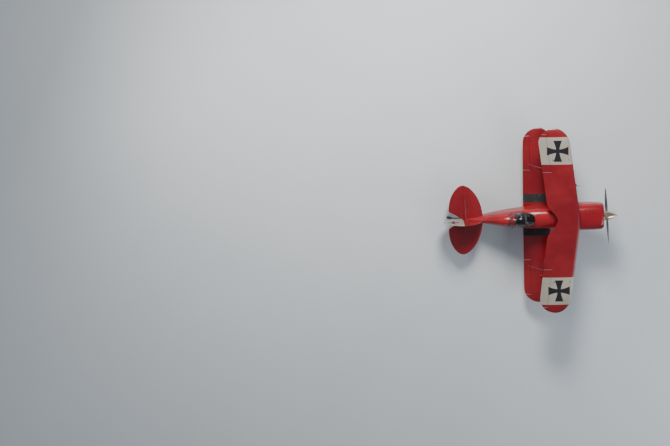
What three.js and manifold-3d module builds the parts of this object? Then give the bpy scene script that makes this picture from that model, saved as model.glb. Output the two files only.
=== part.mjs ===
// A small single-seat aerobatic biplane, standing on its main wheels and tail wheel.
//
// Lengths are millimetres. The airframe's own axes are X forward, Y to port and Z up, with the
// origin at the spinner's tip on the thrust line. The last section pitches the airframe up to
// its parked attitude and puts the middle of its box, at ground level, at the origin.

import * as THREE from 'three';
import { mergeVertices } from 'three/addons/utils/BufferGeometryUtils.js';
import Module from 'manifold-3d';

const wasm = await Module();
wasm.setup();

// Driving dimensions

const SEAT_GAP = 0.3; // between two fixed pieces that touch
const RUN_GAP = 6; // round a moving surface
const FAR = 4000; // reach of a cutting box past everything
const SIDES = table( [ 'name', 'sign' ], [ [ 'left', 1 ], [ 'right', - 1 ] ] );

const NOSE = - 433; // front face of the cowl
const FIREWALL = - 1290;
const DECK_SPLIT = 240; // height at which the forward deck sits on the fuselage
const PANEL = - 2690; // instrument panel and windscreen base
const BOW = - 3007; // joint of the windscreen and the canopy
const CANOPY_REAR = - 3540;
const SILL = 330; // height of the cockpit rails
const BULKHEAD = - 3330; // rear of the cockpit
const DECK_END = - 4300; // rear end of the turtledeck
const HINGE = - 5030; // elevator and rudder hinge lines
const TAIL_HEIGHT = 180; // chord plane of the horizontal tail
const SHELL = 28; // fuselage wall
const COWL_WALL = 8;
const RING_POINTS = 28;

// Cross-sections of the cowl and fuselage; crown and keel are superellipse exponents
const BODY = table( [ 'x', 'half', 'bottom', 'waist', 'top', 'crown', 'keel' ], [
	[ NOSE, 335, - 315, 0, 255, 2.6, 2.6 ],
	[ - 452, 385, - 362, 0, 303, 2.8, 2.8 ],
	[ - 540, 424, - 410, 0, 340, 3.0, 3.4 ],
	[ - 900, 438, - 466, 20, 372, 2.8, 4.0 ],
	[ FIREWALL, 430, - 502, 60, 398, 2.5, 4.2 ],
	[ - 2100, 350, - 530, 150, 425, 2.3, 5 ],
	[ PANEL, 328, - 535, 200, 440, 2.2, 6 ],
	[ - 3030, 300, - 525, 200, 440, 2.2, 6 ],
	[ - 3546, 250, - 480, 190, 560, 2.0, 5 ],
	[ - 4400, 120, - 290, 130, 345, 2.0, 3.5 ],
	[ HINGE + 26, 32, - 95, 100, 225, 2.0, 2.5 ],
] );

// Glass sections over the cockpit, standing on the rails
const GLASS = table( [ 'x', 'half', 'top' ], [
	[ PANEL, 205, 432 ],
	[ - 2780, 228, 540 ],
	[ - 2880, 242, 640 ],
	[ BOW, 250, 728 ],
	[ - 3200, 246, 745 ],
	[ - 3400, 234, 680 ],
	[ CANOPY_REAR, 222, 590 ],
] );

const SPINNER = { radius: 158, base: - 410, hub: 70, plane: - 330, hubFront: - 262 };
const BLADE_ANGLE = 39; // degrees below level, port blade
const BLADE = table( [ 'radius', 'chord', 'thick', 'twist' ], [
	[ 210, 84, 56, 52 ],
	[ 320, 118, 34, 42 ],
	[ 520, 142, 22, 31 ],
	[ 760, 136, 14, 22 ],
	[ 930, 104, 10, 17 ],
	[ 1000, 62, 7, 15 ],
	[ 1015, 26, 5, 15 ],
] );
const SHANK = { radius: 36, end: 165 };

const UPPER = {
	half: 3050, chord: 1020, leading: - 1263, straight: 250, sweep: 7.2, thick: 133,
	root: 0, height: 660, dihedral: 0, tip: 520, notchHalf: 580, notchDepth: 300,
};
const LOWER = {
	half: 2895, chord: 910, leading: - 2120, straight: 0, sweep: 0, thick: 118,
	root: 240, height: - 475, dihedral: 3, tip: 480, notchHalf: 0, notchDepth: 0,
};
const TIP_APEX = 0.43; // share of the chord at which a wing tip reaches farthest out
const UPPER_AILERON = { wing: UPPER, inner: 1620, outer: 2850, hinge: 754 };
const LOWER_AILERON = { wing: LOWER, inner: 1500, outer: 2620, hinge: 700 };
const AILERON_PIN = { radius: 5, length: 25 };
const STRUT_SPAN = 2020; // distance of the interplane struts from the centre
const LINK_SPAN = 1680; // distance of the aileron links from the centre

// Pins of a link, from the ailerons' hinges; the upper one lies farther back so that both
// ailerons turn alike although the link leans forward
const LINK_ARM = { lowerBack: 50, upperBack: 97, out: 36 };

const MAIN_WHEEL = { x: - 1500, y: 820, z: - 1010, radius: 180, width: 124, rim: 78, axle: 20 };
const TAIL_WHEEL = { x: - 5465, z: - 270, radius: 75, width: 44, rim: 34, axle: 7, trail: 62 };

// Materials: colour, roughness, metalness

const FINISHES = {
	red: [ 0x9a1c20, 0.35, 0 ], white: [ 0xe6e4dc, 0.5, 0 ], steel: [ 0xb4b8bc, 0.35, 1 ],
	dark: [ 0x2a2b2f, 0.7, 0 ], blade: [ 0x424450, 0.4, 0.3 ], champagne: [ 0xc9bfa8, 0.2, 1 ],
	glass: [ 0xaab4bc, 0.1, 0 ], rubber: [ 0x161616, 0.9, 0 ], alloy: [ 0x8f9296, 0.5, 0.8 ],
};

// Turns lines of numbers into rows with named columns
function table( columns, lines ) {

	return lines.map( ( line ) => Object.fromEntries( columns.map( ( name, i ) => [ name, line[ i ] ] ) ) );

}

function point( x, y, z ) {

	return new THREE.Vector3( x, y, z );

}

function radians( degrees ) {

	return THREE.MathUtils.degToRad( degrees );

}

// Solids and meshes

function toSolid( geometry ) {

	const bare = geometry.clone();
	bare.deleteAttribute( 'normal' );
	bare.deleteAttribute( 'uv' );
	const merged = mergeVertices( bare, 1e-3 );
	return new wasm.Manifold( new wasm.Mesh( {
		numProp: 3,
		vertProperties: new Float32Array( merged.attributes.position.array ),
		triVerts: new Uint32Array( merged.index.array ),
	} ) );

}

function toGeometry( solid ) {

	const mesh = solid.getMesh();
	const geometry = new THREE.BufferGeometry();
	const corners = new Float32Array( mesh.vertProperties );
	geometry.setAttribute( 'position', new THREE.BufferAttribute( corners, 3 ) );
	geometry.setIndex( new THREE.BufferAttribute( new Uint32Array( mesh.triVerts ), 1 ) );
	geometry.computeVertexNormals();
	return geometry;

}

const airframe = new THREE.Group();

function addMesh( name, solid, finish, parent = airframe ) {

	const [ color, roughness, metalness ] = FINISHES[ finish ];
	const material = new THREE.MeshStandardMaterial( { color, roughness, metalness } );
	const mesh = new THREE.Mesh( toGeometry( solid ), material );
	mesh.name = name;
	parent.add( mesh );
	return mesh;

}

function volumeOf( positions, index ) {

	let volume = 0;
	const corner = ( i ) => point( ...positions.slice( 3 * i, 3 * i + 3 ) );
	for ( let i = 0; i < index.length; i += 3 ) {

		volume += corner( index[ i ] ).dot( corner( index[ i + 1 ] ).cross( corner( index[ i + 2 ] ) ) );

	}

	return volume;

}

// Skins rings of equal length and closes both ends with a fan about the ring's middle
function loft( rings ) {

	const count = rings[ 0 ].length;
	const positions = rings.flat().flatMap( ( p ) => [ p.x, p.y, p.z ] );
	const index = [];
	for ( let r = 0; r < rings.length - 1; r ++ ) {

		for ( let i = 0; i < count; i ++ ) {

			const a = r * count + i;
			const b = r * count + ( i + 1 ) % count;
			index.push( a, b, b + count, a, b + count, a + count );

		}

	}

	for ( const r of [ 0, rings.length - 1 ] ) {

		const middle = rings[ r ].reduce( ( sum, p ) => sum.add( p ), point( 0, 0, 0 ) ).divideScalar( count );
		const centre = positions.length / 3;
		positions.push( middle.x, middle.y, middle.z );
		for ( let i = 0; i < count; i ++ ) {

			const edge = [ r * count + i, r * count + ( i + 1 ) % count ];
			index.push( centre, ...( r === 0 ? edge.reverse() : edge ) );

		}

	}

	if ( volumeOf( positions, index ) < 0 ) index.reverse();
	const geometry = new THREE.BufferGeometry();
	geometry.setAttribute( 'position', new THREE.Float32BufferAttribute( positions, 3 ) );
	geometry.setIndex( index );
	return toSolid( geometry );

}

// A box between two corners, given in any order along each axis
function box( x0, x1, y0, y1, z0, z1 ) {

	const geometry = new THREE.BoxGeometry( Math.abs( x1 - x0 ), Math.abs( y1 - y0 ), Math.abs( z1 - z0 ) );
	geometry.translate( ( x0 + x1 ) / 2, ( y0 + y1 ) / 2, ( z0 + z1 ) / 2 );
	return toSolid( geometry );

}

// A round or oval bar between two points; the oval's long axis points along the airframe
function bar( from, to, radius, sides = 8, stretch = 1 ) {

	const along = to.clone().sub( from ).normalize();
	const wide = Math.abs( along.x ) > 0.95 ? point( 0, 1, 0 ) : point( 1, 0, 0 );
	wide.addScaledVector( along, - wide.dot( along ) ).normalize();
	const thin = along.clone().cross( wide );
	const ring = ( centre ) => Array.from( { length: sides }, ( _, i ) => {

		const angle = 2 * Math.PI * ( i + 0.5 ) / sides;
		return centre.clone()
			.addScaledVector( wide, radius * stretch * Math.cos( angle ) )
			.addScaledVector( thin, radius * Math.sin( angle ) );

	} );
	return loft( [ ring( from ), ring( to ) ] );

}

// A turned solid about the X axis from [ x, radius ] pairs that start and end on the axis
function turned( profile, sides ) {

	const outline = profile.map( ( [ x, radius ] ) => new THREE.Vector2( radius, x ) );
	const lathe = () => toSolid( new THREE.LatheGeometry( outline, sides ).rotateZ( - Math.PI / 2 ) );
	const solid = lathe();
	if ( solid.volume() > 0 ) return solid;
	outline.reverse();
	return lathe();

}

function join( solids ) {

	return solids.reduce( ( whole, next ) => whole.add( next ) );

}

// Takes a neighbour away from a piece, with the seat gap along the given direction
function seatOn( piece, neighbour, direction ) {

	const [ x, y, z ] = direction.map( ( value ) => value * SEAT_GAP );
	return piece.subtract( neighbour ).subtract( neighbour.translate( [ x, y, z ] ) );

}

// Fuselage, cowl and cockpit

function rowAt( rows, x ) {

	const next = Math.max( 1, rows.findIndex( ( row ) => row.x <= x ) );
	const [ a, b ] = [ rows[ next - 1 ], rows[ next ] ];
	const share = ( x - a.x ) / ( b.x - a.x );
	const value = ( key ) => a[ key ] + share * ( b[ key ] - a[ key ] );
	return Object.fromEntries( Object.keys( a ).map( ( key ) => [ key, value( key ) ] ) );

}

function bodyRing( row, inset = 0 ) {

	return Array.from( { length: RING_POINTS }, ( _, i ) => {

		const angle = 2 * Math.PI * i / RING_POINTS;
		const across = Math.cos( angle );
		const up = Math.sin( angle );
		const power = 2 / ( up >= 0 ? row.crown : row.keel );
		const reach = up >= 0 ? row.top - row.waist - inset : row.waist - row.bottom - inset;
		return point(
			row.x,
			( row.half - inset ) * Math.sign( across ) * Math.abs( across ) ** power,
			row.waist + reach * Math.sign( up ) * Math.abs( up ) ** power,
		);

	} );

}

// The body between two stations, with every table row in between
function bodySolid( front, rear, inset = 0 ) {

	const between = BODY.filter( ( row ) => row.x < front - 1 && row.x > rear + 1 );
	const rows = [ rowAt( BODY, front ), ...between, rowAt( BODY, rear ) ];
	return loft( rows.map( ( row ) => bodyRing( row, inset ) ) );

}

const TAIL_POST = HINGE + 26;
const fuselageForm = bodySolid( FIREWALL, TAIL_POST );
const COCKPIT = { front: - 2060, openFront: PANEL - 25, openHalf: 212, openFloor: 150, floor: - 500 };
const DECK_FRONT = FIREWALL + 50; // past the front face, so that the deck reaches it
const UNDER_GLASS = { inset: 30, end: CANOPY_REAR - RUN_GAP };
const PEDAL = { x: - 2250, y: 95, half: 38, thick: 5, foot: - 516, top: - 345 };
const QUADRANT = { front: - 2790, rear: - 2850, inner: 232, bottom: 130, top: 165, lever: 70, knob: 14 };
const FILLER = { x: - 1640, radius: 34, sink: 8, rise: 7 };

// Rudder pedals on the floor and the throttle on the port wall
function cockpitFittings() {

	const pedals = SIDES.map( ( { sign } ) => box(
		PEDAL.x - PEDAL.thick, PEDAL.x + PEDAL.thick,
		sign * PEDAL.y - PEDAL.half, sign * PEDAL.y + PEDAL.half, PEDAL.foot, PEDAL.top ) );
	const { front, rear, inner, bottom, top, lever, knob } = QUADRANT;
	const wall = rowAt( BODY, rear ).half - SHELL / 2;
	const plate = box( front, rear, inner, wall, bottom, top );
	const pivot = point( ( front + rear ) / 2, ( inner + wall ) / 2, top - 5 );
	const end = pivot.clone().add( point( 15, 0, lever ) );
	const tip = end.clone().add( point( 0, - 2 * knob, 0 ) );
	return join( [ ...pedals, plate, bar( pivot, end, 5 ), bar( end, tip, knob, 10 ) ] );

}

function addFuselage() {

	const room = bodySolid( COCKPIT.front, BULKHEAD, SHELL );
	const { openFront, openHalf, openFloor } = COCKPIT;
	const opening = box( openFront, BULKHEAD, - openHalf, openHalf, openFloor, FAR );
	const deckSpace = box( DECK_FRONT, PANEL, - FAR, FAR, DECK_SPLIT, FAR );
	const railSpace = box( BOW, DECK_END, - FAR, FAR, SILL, FAR );
	const lugs = join( CANOPY_HINGES.map( ( x ) => canopyLug( x ) ) );
	const hull = fuselageForm.subtract( room ).add( cockpitFittings() ).subtract( opening )
		.subtract( deckSpace ).subtract( railSpace );
	addMesh( 'fuselage', join( [ hull, lugs, hingeLug( rudderLugs[ 0 ], ...RUDDER_AXES ) ] ), 'red' );

	const deck = box( DECK_FRONT, PANEL + SEAT_GAP, - FAR, FAR, DECK_SPLIT + SEAT_GAP, FAR );
	const deckTop = rowAt( BODY, FILLER.x ).top;
	const cap = bar( point( FILLER.x, 0, deckTop - FILLER.sink ), point( FILLER.x, 0, deckTop + FILLER.rise ),
		FILLER.radius, 16 );
	addMesh( 'forward_deck', fuselageForm.intersect( deck ).add( cap ), 'red' );

	const above = SILL + SEAT_GAP;
	const overSill = box( 0, - FAR * 2, - FAR, FAR, above, FAR );
	const underGlass = bodySolid( BULKHEAD, UNDER_GLASS.end - 1, UNDER_GLASS.inset ).intersect( overSill );
	const aft = fuselageForm.intersect( box( UNDER_GLASS.end, DECK_END + SEAT_GAP, - FAR, FAR, above, FAR ) );
	addMesh( 'turtledeck', underGlass.add( aft ), 'red' );

}

const COWL = {
	inlet: { y: 245, z: - 20, radius: 88, rear: - 560, lip: 8, lipFront: NOSE + 8, lipRear: NOSE - 7 },
	shaft: 78,
	outlet: { front: FIREWALL + 160, rear: FIREWALL - 1, half: 210, top: - 400 },
};

function addCowl() {

	const { inlet, shaft, outlet } = COWL;
	const inside = bodySolid( NOSE - COWL_WALL, FIREWALL - 10, COWL_WALL );
	const skin = bodySolid( NOSE, FIREWALL + SEAT_GAP ).subtract( inside );
	const tunnels = ( front, rear, radius ) => SIDES.map( ( { sign } ) => bar(
		point( front, sign * inlet.y, inlet.z ), point( rear, sign * inlet.y, inlet.z ), radius, 16 ) );
	const lips = tunnels( inlet.lipFront, inlet.lipRear, inlet.radius + inlet.lip );
	const inlets = tunnels( 0, inlet.rear, inlet.radius );
	const shaftHole = bar( point( 0, 0, 0 ), point( inlet.rear, 0, 0 ), shaft, 16 );
	const outletHole = box( outlet.front, outlet.rear, - outlet.half, outlet.half, - FAR, outlet.top );
	const shell = join( [ skin, ...lips ] ).subtract( join( [ ...inlets, shaftHole, outletHole ] ) );
	addMesh( 'cowl_upper', shell.intersect( box( 0, - FAR, - FAR, FAR, SEAT_GAP, FAR ) ), 'red' );
	addMesh( 'cowl_lower', shell.intersect( box( 0, - FAR, - FAR, FAR, 0, - FAR ) ), 'red' );

}

const ENGINE = {
	front: - 560, rear: - 1080, half: 165, bottom: - 150, top: 130, shaft: 45,
	sump: { front: - 620, rear: - 1020, half: 120, bottom: - 250 },
	mount: { y: 130, z: [ - 110, 90 ], radius: 24 },
};
const CYLINDER = {
	stations: [ - 690, - 930 ], z: - 20, barrel: 66, fin: 84, fins: 4, pitch: 26, thick: 9,
	start: 172, head: 275, headHalf: 86, end: 340,
};
const EXHAUST = { radius: 23, port: 255, top: - 80, bend: [ 205, - 300 ], rear: [ - 1190, 150, - 425 ],
	exit: [ - 1215, 142, - 556 ] };

// A finned barrel with its head, lying to one side of the crankcase
function cylinder( x, sign ) {

	const { z, barrel, fin, fins, pitch, thick, start, head, headHalf, end } = CYLINDER;
	const rings = Array.from( { length: fins }, ( _, i ) => start + i * pitch ).flatMap( ( out ) =>
		[ [ out, barrel ], [ out, fin ], [ out + thick, fin ], [ out + thick, barrel ] ] );
	const [ root, tip ] = [ ENGINE.half - 20, head + 5 ];
	const profile = [ [ root, 0 ], [ root, barrel ], ...rings, [ tip, barrel ], [ tip, 0 ] ];
	const upright = turned( profile, 14 ).rotate( [ 0, 0, sign * 90 ] ).translate( [ x, 0, z ] );
	const [ front, rear, low, high ] = [ x + headHalf, x - headHalf, z - headHalf, z + headHalf ];
	return upright.add( box( front, rear, sign * head, sign * end, low, high ) );

}

// The pipe from a cylinder's head to the common outlet under the cowl
function exhaust( x, sign ) {

	const { radius, port, top, bend, rear, exit } = EXHAUST;
	const route = [
		point( x, sign * port, top ), point( x - 50, sign * bend[ 0 ], bend[ 1 ] ),
		point( rear[ 0 ], sign * rear[ 1 ], rear[ 2 ] ), point( exit[ 0 ], sign * exit[ 1 ], exit[ 2 ] ),
	];
	return join( route.slice( 1 ).map( ( end, i ) => bar( route[ i ], end, radius, 10 ) ) );

}

function addEngine() {

	const { front, rear, half, bottom, top, shaft, sump, mount } = ENGINE;
	const block = box( front, rear, - half, half, bottom, top )
		.add( box( sump.front, sump.rear, - sump.half, sump.half, sump.bottom, bottom + 10 ) );
	const crank = bar( point( front - 1, 0, 0 ), point( SPINNER.base + 2 - SEAT_GAP, 0, 0 ), shaft, 16 );
	const mountEnd = FIREWALL + SEAT_GAP;
	const tube = ( y, z ) => bar( point( rear + 1, y, z ), point( mountEnd, y, z ), mount.radius, 10 );
	const mounts = SIDES.flatMap( ( { sign } ) => mount.z.map( ( z ) => tube( sign * mount.y, z ) ) );
	const banks = SIDES.flatMap( ( { sign } ) => CYLINDER.stations.map( ( x ) =>
		cylinder( x, sign ).add( exhaust( x, sign ) ) ) );
	addMesh( 'engine', join( [ block, crank, ...mounts, ...banks ] ), 'alloy' );

}

// A closed arch under the glass line: half a superellipse standing on the rail height
function archRing( row, inset, base ) {

	const steps = 16;
	return Array.from( { length: steps + 1 }, ( _, i ) => {

		const angle = Math.PI * i / steps;
		const across = Math.cos( angle );
		return point(
			row.x,
			( row.half - inset ) * Math.sign( across ) * Math.abs( across ) ** 0.9,
			base + ( row.top - inset - base ) * Math.sin( angle ) ** 0.9,
		);

	} );

}

function archShell( front, rear, outset, inset, base ) {

	const between = GLASS.filter( ( row ) => row.x < front - 1 && row.x > rear + 1 );
	const rows = [ rowAt( GLASS, front ), ...between, rowAt( GLASS, rear ) ];
	const outer = loft( rows.map( ( row ) => archRing( row, - outset, base ) ) );
	const rowsInside = rows.map( ( row ) => ( { ...row } ) );
	rowsInside[ 0 ].x += 2;
	rowsInside[ rows.length - 1 ].x -= 2;
	return outer.subtract( loft( rowsInside.map( ( row ) => archRing( row, inset, base - 1 ) ) ) );

}

const CANOPY_HINGES = [ - 3120, - 3440 ];
const CANOPY = { base: SILL + RUN_GAP, band: 58, bow: 34, rearBow: 22, glass: 6, frame: 12 };
const HANDLE = { front: - 3040, rear: - 3110, inner: 243, outer: 266, bottom: SILL + 16, top: SILL + 27 };
const CANOPY_AXIS = { y: - 267, z: SILL + 16, pin: 4, lug: 11, width: 16 };

function canopyLug( x ) {

	const { y, z, pin, lug, width } = CANOPY_AXIS;
	const half = width / 2;
	const eye = bar( point( x - half, y, z ), point( x + half, y, z ), lug, 12 );
	const foot = box( x - half, x + half, y - lug + 1, y + lug - 1, z, z - 110 );
	return eye.add( foot ).subtract( bar( point( x - 50, y, z ), point( x + 50, y, z ), pin + 0.5, 12 ) );

}

// Two knuckles beside each fixed lug, joined by the pin through it
function canopyKnuckle( x ) {

	const { y, z, pin, lug, width } = CANOPY_AXIS;
	const near = width / 2 + SEAT_GAP;
	const far = near + 12;
	const cheeks = [ [ near, far ], [ - far, - near ] ].map( ( [ a, b ] ) =>
		bar( point( x + a, y, z ), point( x + b, y, z ), lug, 12 )
			.add( box( x + a, x + b, y, - rowAt( GLASS, x ).half + 6, z - 5, z + 9 ) ) );
	return join( [ ...cheeks, bar( point( x - far + 1, y, z ), point( x + far - 1, y, z ), pin, 12 ) ] );

}

function addGlass() {

	const { base, band, bow, rearBow, glass, frame } = CANOPY;
	const front = BOW - RUN_GAP / 2;
	const rear = CANOPY_REAR;
	const frameShell = archShell( front, rear, 1.5, frame, base );
	const bandBox = box( 0, - FAR * 2, - FAR, FAR, 0, base + band );
	const frontBow = box( front + 5, front - bow, - FAR, FAR, 0, FAR );
	const bows = frontBow.add( box( rear + rearBow, rear - 5, - FAR, FAR, 0, FAR ) );
	const knuckles = join( CANOPY_HINGES.map( ( x ) => canopyKnuckle( x ) ) );
	const handle = box( HANDLE.front, HANDLE.rear, HANDLE.inner, HANDLE.outer, HANDLE.bottom, HANDLE.top );
	const rim = frameShell.intersect( bandBox.add( bows ) );
	addMesh( 'canopy_frame', join( [ rim, knuckles, handle ] ), 'red' );

	const paneRear = rear + rearBow + SEAT_GAP;
	const pane = box( front - bow - SEAT_GAP, paneRear, - FAR, FAR, base + band + SEAT_GAP, FAR );
	addMesh( 'canopy_glass', archShell( front, rear, 0, glass, base ).intersect( pane ), 'glass' );

	const fixedRear = BOW + RUN_GAP / 2;
	const screen = archShell( PANEL, fixedRear + 24 + SEAT_GAP, 0, glass, 200 );
	addMesh( 'windscreen', seatOn( screen, fuselageForm, [ 0, 0, 1 ] ), 'glass' );
	const arch = archShell( fixedRear + 24, fixedRear, 1.5, frame, 200 );
	addMesh( 'windscreen_bow', seatOn( arch, fuselageForm, [ 0, 0, 1 ] ), 'red' );

}

const SEAT = { half: 190, front: - 3010, rear: - 3290, pan: - 250, back: 200, thick: 36, lean: 60 };
const STICK = { x: - 2860, radius: 11, top: 40, grip: 17, gripLength: 130, foot: [ 50, 45, 25 ] };
const BOARD = {
	front: PANEL - 4, rear: PANEL - 12, half: 205, bottom: 60, top: 400, bezel: 38,
	dials: [ [ - 145, 300 ], [ - 145, 205 ], [ - 50, 315 ], [ 150, 300 ], [ 155, 205 ] ],
};

function addCockpit() {

	const { front, rear, half, bottom, top, bezel, dials } = BOARD;
	const panelForm = bodySolid( front, rear, SHELL + SEAT_GAP );
	const panelBox = box( 0, - FAR, - half, half, bottom, top );
	const bezels = dials.map( ( [ y, z ] ) =>
		bar( point( rear + 1, y, z ), point( rear - 6, y, z ), bezel, 16 ) );
	addMesh( 'instrument_panel', join( [ panelForm.intersect( panelBox ), ...bezels ] ), 'dark' );

	const floor = box( PANEL, BULKHEAD, - 160, 160, COCKPIT.floor - 20, SEAT.pan );
	const pan = box( SEAT.front, SEAT.rear, - SEAT.half, SEAT.half, SEAT.pan, SEAT.pan + SEAT.thick );
	const back = loft( [ 0, 1 ].map( ( high ) => {

		const z = high ? SEAT.back : SEAT.pan;
		const x = SEAT.rear + SEAT.thick - high * SEAT.lean + 20;
		return [ point( x, - SEAT.half, z ), point( x, SEAT.half, z ),
			point( x - SEAT.thick, SEAT.half, z ), point( x - SEAT.thick, - SEAT.half, z ) ];

	} ) );
	const stand = box( SEAT.front - 60, SEAT.rear + 60, - 120, 120, SEAT.pan + 1, - FAR ).intersect( floor );
	const room = bodySolid( COCKPIT.front, BULKHEAD, SHELL + SEAT_GAP );
	addMesh( 'pilot_chair', join( [ pan, back, stand ] ).intersect( room ), 'dark' );

	const onStem = ( z ) => point( STICK.x, 0, z );
	const stem = bar( onStem( - FAR ), onStem( STICK.top ), STICK.radius, 10 );
	const gripTop = STICK.top + 20;
	const grip = bar( onStem( gripTop - STICK.gripLength ), onStem( gripTop ), STICK.grip, 10 );
	const [ long, wide, high ] = STICK.foot;
	const foot = box( STICK.x - long, STICK.x + long, - wide, wide, - FAR, COCKPIT.floor + high );
	addMesh( 'control_stick', join( [ stem, grip, foot ] ).intersect( room ), 'dark' );

}

// Wings

const PROFILE = [ 1, 0.85, 0.66, 0.46, 0.3, 0.17, 0.075, 0.02 ]; // shares of the chord

function hingeSlope( wing ) {

	return Math.tan( radians( wing.sweep ) );

}

function wingRow( wing, y ) {

	const out = Math.max( 0, ( y - wing.half + wing.tip ) / wing.tip );
	const full = Math.sqrt( 1 - out * out );
	const notch = y < wing.notchHalf ? wing.notchDepth * Math.cos( Math.PI / 2 * y / wing.notchHalf ) ** 2 : 0;
	const straightEdge = wing.leading - Math.max( 0, y - wing.straight ) * hingeSlope( wing );
	return {
		y,
		leading: straightEdge - TIP_APEX * wing.chord * ( 1 - full ),
		chord: wing.chord * full - notch,
		thick: wing.thick * full,
		z: wing.height + ( y - wing.root ) * Math.tan( radians( wing.dihedral ) ),
	};

}

// Half thickness of a symmetric aerofoil at a share of its chord
function halfThick( row, share ) {

	const curve = 0.2969 * Math.sqrt( share ) - 0.126 * share - 0.3516 * share ** 2
		+ 0.2843 * share ** 3 - 0.1036 * share ** 4;
	return 5 * row.thick * curve + 1.5 * share;

}

function wingRing( row, sign ) {

	const at = ( share, side ) => point(
		row.leading - row.chord * share, sign * row.y, row.z + side * halfThick( row, share ) );
	const upper = PROFILE.map( ( share ) => at( share, 1 ) );
	const lower = PROFILE.map( ( share ) => at( share, - 1 ) ).reverse();
	return [ ...upper, at( 0, 0 ), ...lower ];

}

const TIP_STEPS = [ 0, 0.32, 0.56, 0.75, 0.88, 0.96, 0.997 ];

function tipStations( wing ) {

	return TIP_STEPS.map( ( step ) => wing.half - wing.tip + wing.tip * step );

}

function wingPanel( wing, inner, sign ) {

	return loft( [ ...inner, ...tipStations( wing ) ].map( ( y ) => wingRing( wingRow( wing, y ), sign ) ) );

}

// Moving surfaces: a round nose about the hinge, then straight sides to the trailing edge

const BACK = point( - 1, 0, 0 );

function flapRing( hinge, side, radius, length, grow = 0 ) {

	const reach = radius + grow;
	const edge = grow ? reach : 2;
	const at = ( back, out ) => hinge.clone().addScaledVector( BACK, back ).addScaledVector( side, out );
	const nose = [ 90, 120, 150, 180, 210, 240, 270 ].map( ( degrees ) =>
		at( reach * Math.cos( radians( degrees ) ), reach * Math.sin( radians( degrees ) ) ) );
	return [ ...nose, at( length + grow * 20, - edge ), at( length + grow * 20, edge ) ];

}

function aileronHinge( aileron, y, sign ) {

	const { wing, hinge } = aileron;
	const x = wing.leading - Math.max( 0, y - wing.straight ) * hingeSlope( wing ) - hinge;
	return point( x, sign * y, wingRow( wing, y ).z );

}

function aileronForm( aileron, sign, grow = 0 ) {

	const { wing, inner, outer } = aileron;
	const tips = tipStations( wing ).filter( ( y ) => y < outer - 20 );
	return loft( [ inner - grow, ...tips, outer + grow ].map( ( y ) => {

		const row = wingRow( wing, y );
		const hinge = aileronHinge( aileron, y, sign );
		const share = ( row.leading - hinge.x ) / row.chord;
		return flapRing( hinge, point( 0, 0, 1 ), halfThick( row, share ), row.chord * ( 1 - share ), grow );

	} ) );

}

function aileronPins( aileron, sign, grow ) {

	const { inner, outer } = aileron;
	const { radius, length } = AILERON_PIN;
	const reach = length + ( grow ? 1 : 0 );
	return join( [ [ inner - reach, inner + 20 ], [ outer - 20, outer + reach ] ].map( ( [ a, b ] ) =>
		bar( aileronHinge( aileron, a, sign ), aileronHinge( aileron, b, sign ), radius + grow, 12 ) ) );

}

function aileronSpace( aileron, sign ) {

	return aileronForm( aileron, sign, RUN_GAP ).add( aileronPins( aileron, sign, 0.4 ) );

}

function linkPin( aileron, sign, up ) {

	const hinge = aileronHinge( aileron, LINK_SPAN, sign );
	const back = up > 0 ? LINK_ARM.lowerBack : LINK_ARM.upperBack;
	return hinge.add( point( - back, 0, up * LINK_ARM.out ) );

}

const LINK = { eye: 8, pin: 3.5, plate: 4, near: 4.3, width: 8, rod: 4, upper: [ - 11, - 3 ] };

// Bracket on an aileron for its link: a plate with a round end about the pin
function linkBracket( aileron, sign, up, inner, outer ) {

	const pin = linkPin( aileron, sign, up );
	const at = ( y ) => point( pin.x, pin.y + sign * y, pin.z );
	const eye = bar( at( inner ), at( outer ), LINK.eye, 12 );
	const foot = box( pin.x - LINK.eye, pin.x + LINK.eye, at( inner ).y, at( outer ).y,
		pin.z, pin.z - up * ( LINK_ARM.out - 4 ) );
	return eye.add( foot );

}

const upperStations = [ 0, 110, 220, 330, 440, 580, 1600 ];
const upperWing = join( SIDES.map( ( { sign } ) => wingPanel( UPPER, upperStations, sign ) ) )
	.subtract( join( SIDES.map( ( { sign } ) => aileronSpace( UPPER_AILERON, sign ) ) ) );
const lowerWings = SIDES.map( ( { sign } ) => wingPanel( LOWER, [ LOWER.root, 1480 ], sign )
	.subtract( aileronSpace( LOWER_AILERON, sign ) )
	.subtract( fuselageForm ).subtract( fuselageForm.translate( [ 0, sign * SEAT_GAP, 0 ] ) ) );

const FITTING = { radius: 14, sink: 12, rise: 5, backs: [ 120, 634 ] };

// Heads of the bolts that hold the interplane struts, on top of the upper wing
function strutBolts() {

	const row = wingRow( UPPER, STRUT_SPAN );
	return join( SIDES.flatMap( ( { sign } ) => FITTING.backs.map( ( back ) => {

		const top = row.z + halfThick( row, back / row.chord );
		const at = ( z ) => point( row.leading - back, sign * row.y, z );
		return bar( at( top - FITTING.sink ), at( top + FITTING.rise ), FITTING.radius, 10 );

	} ) ) );

}

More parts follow.
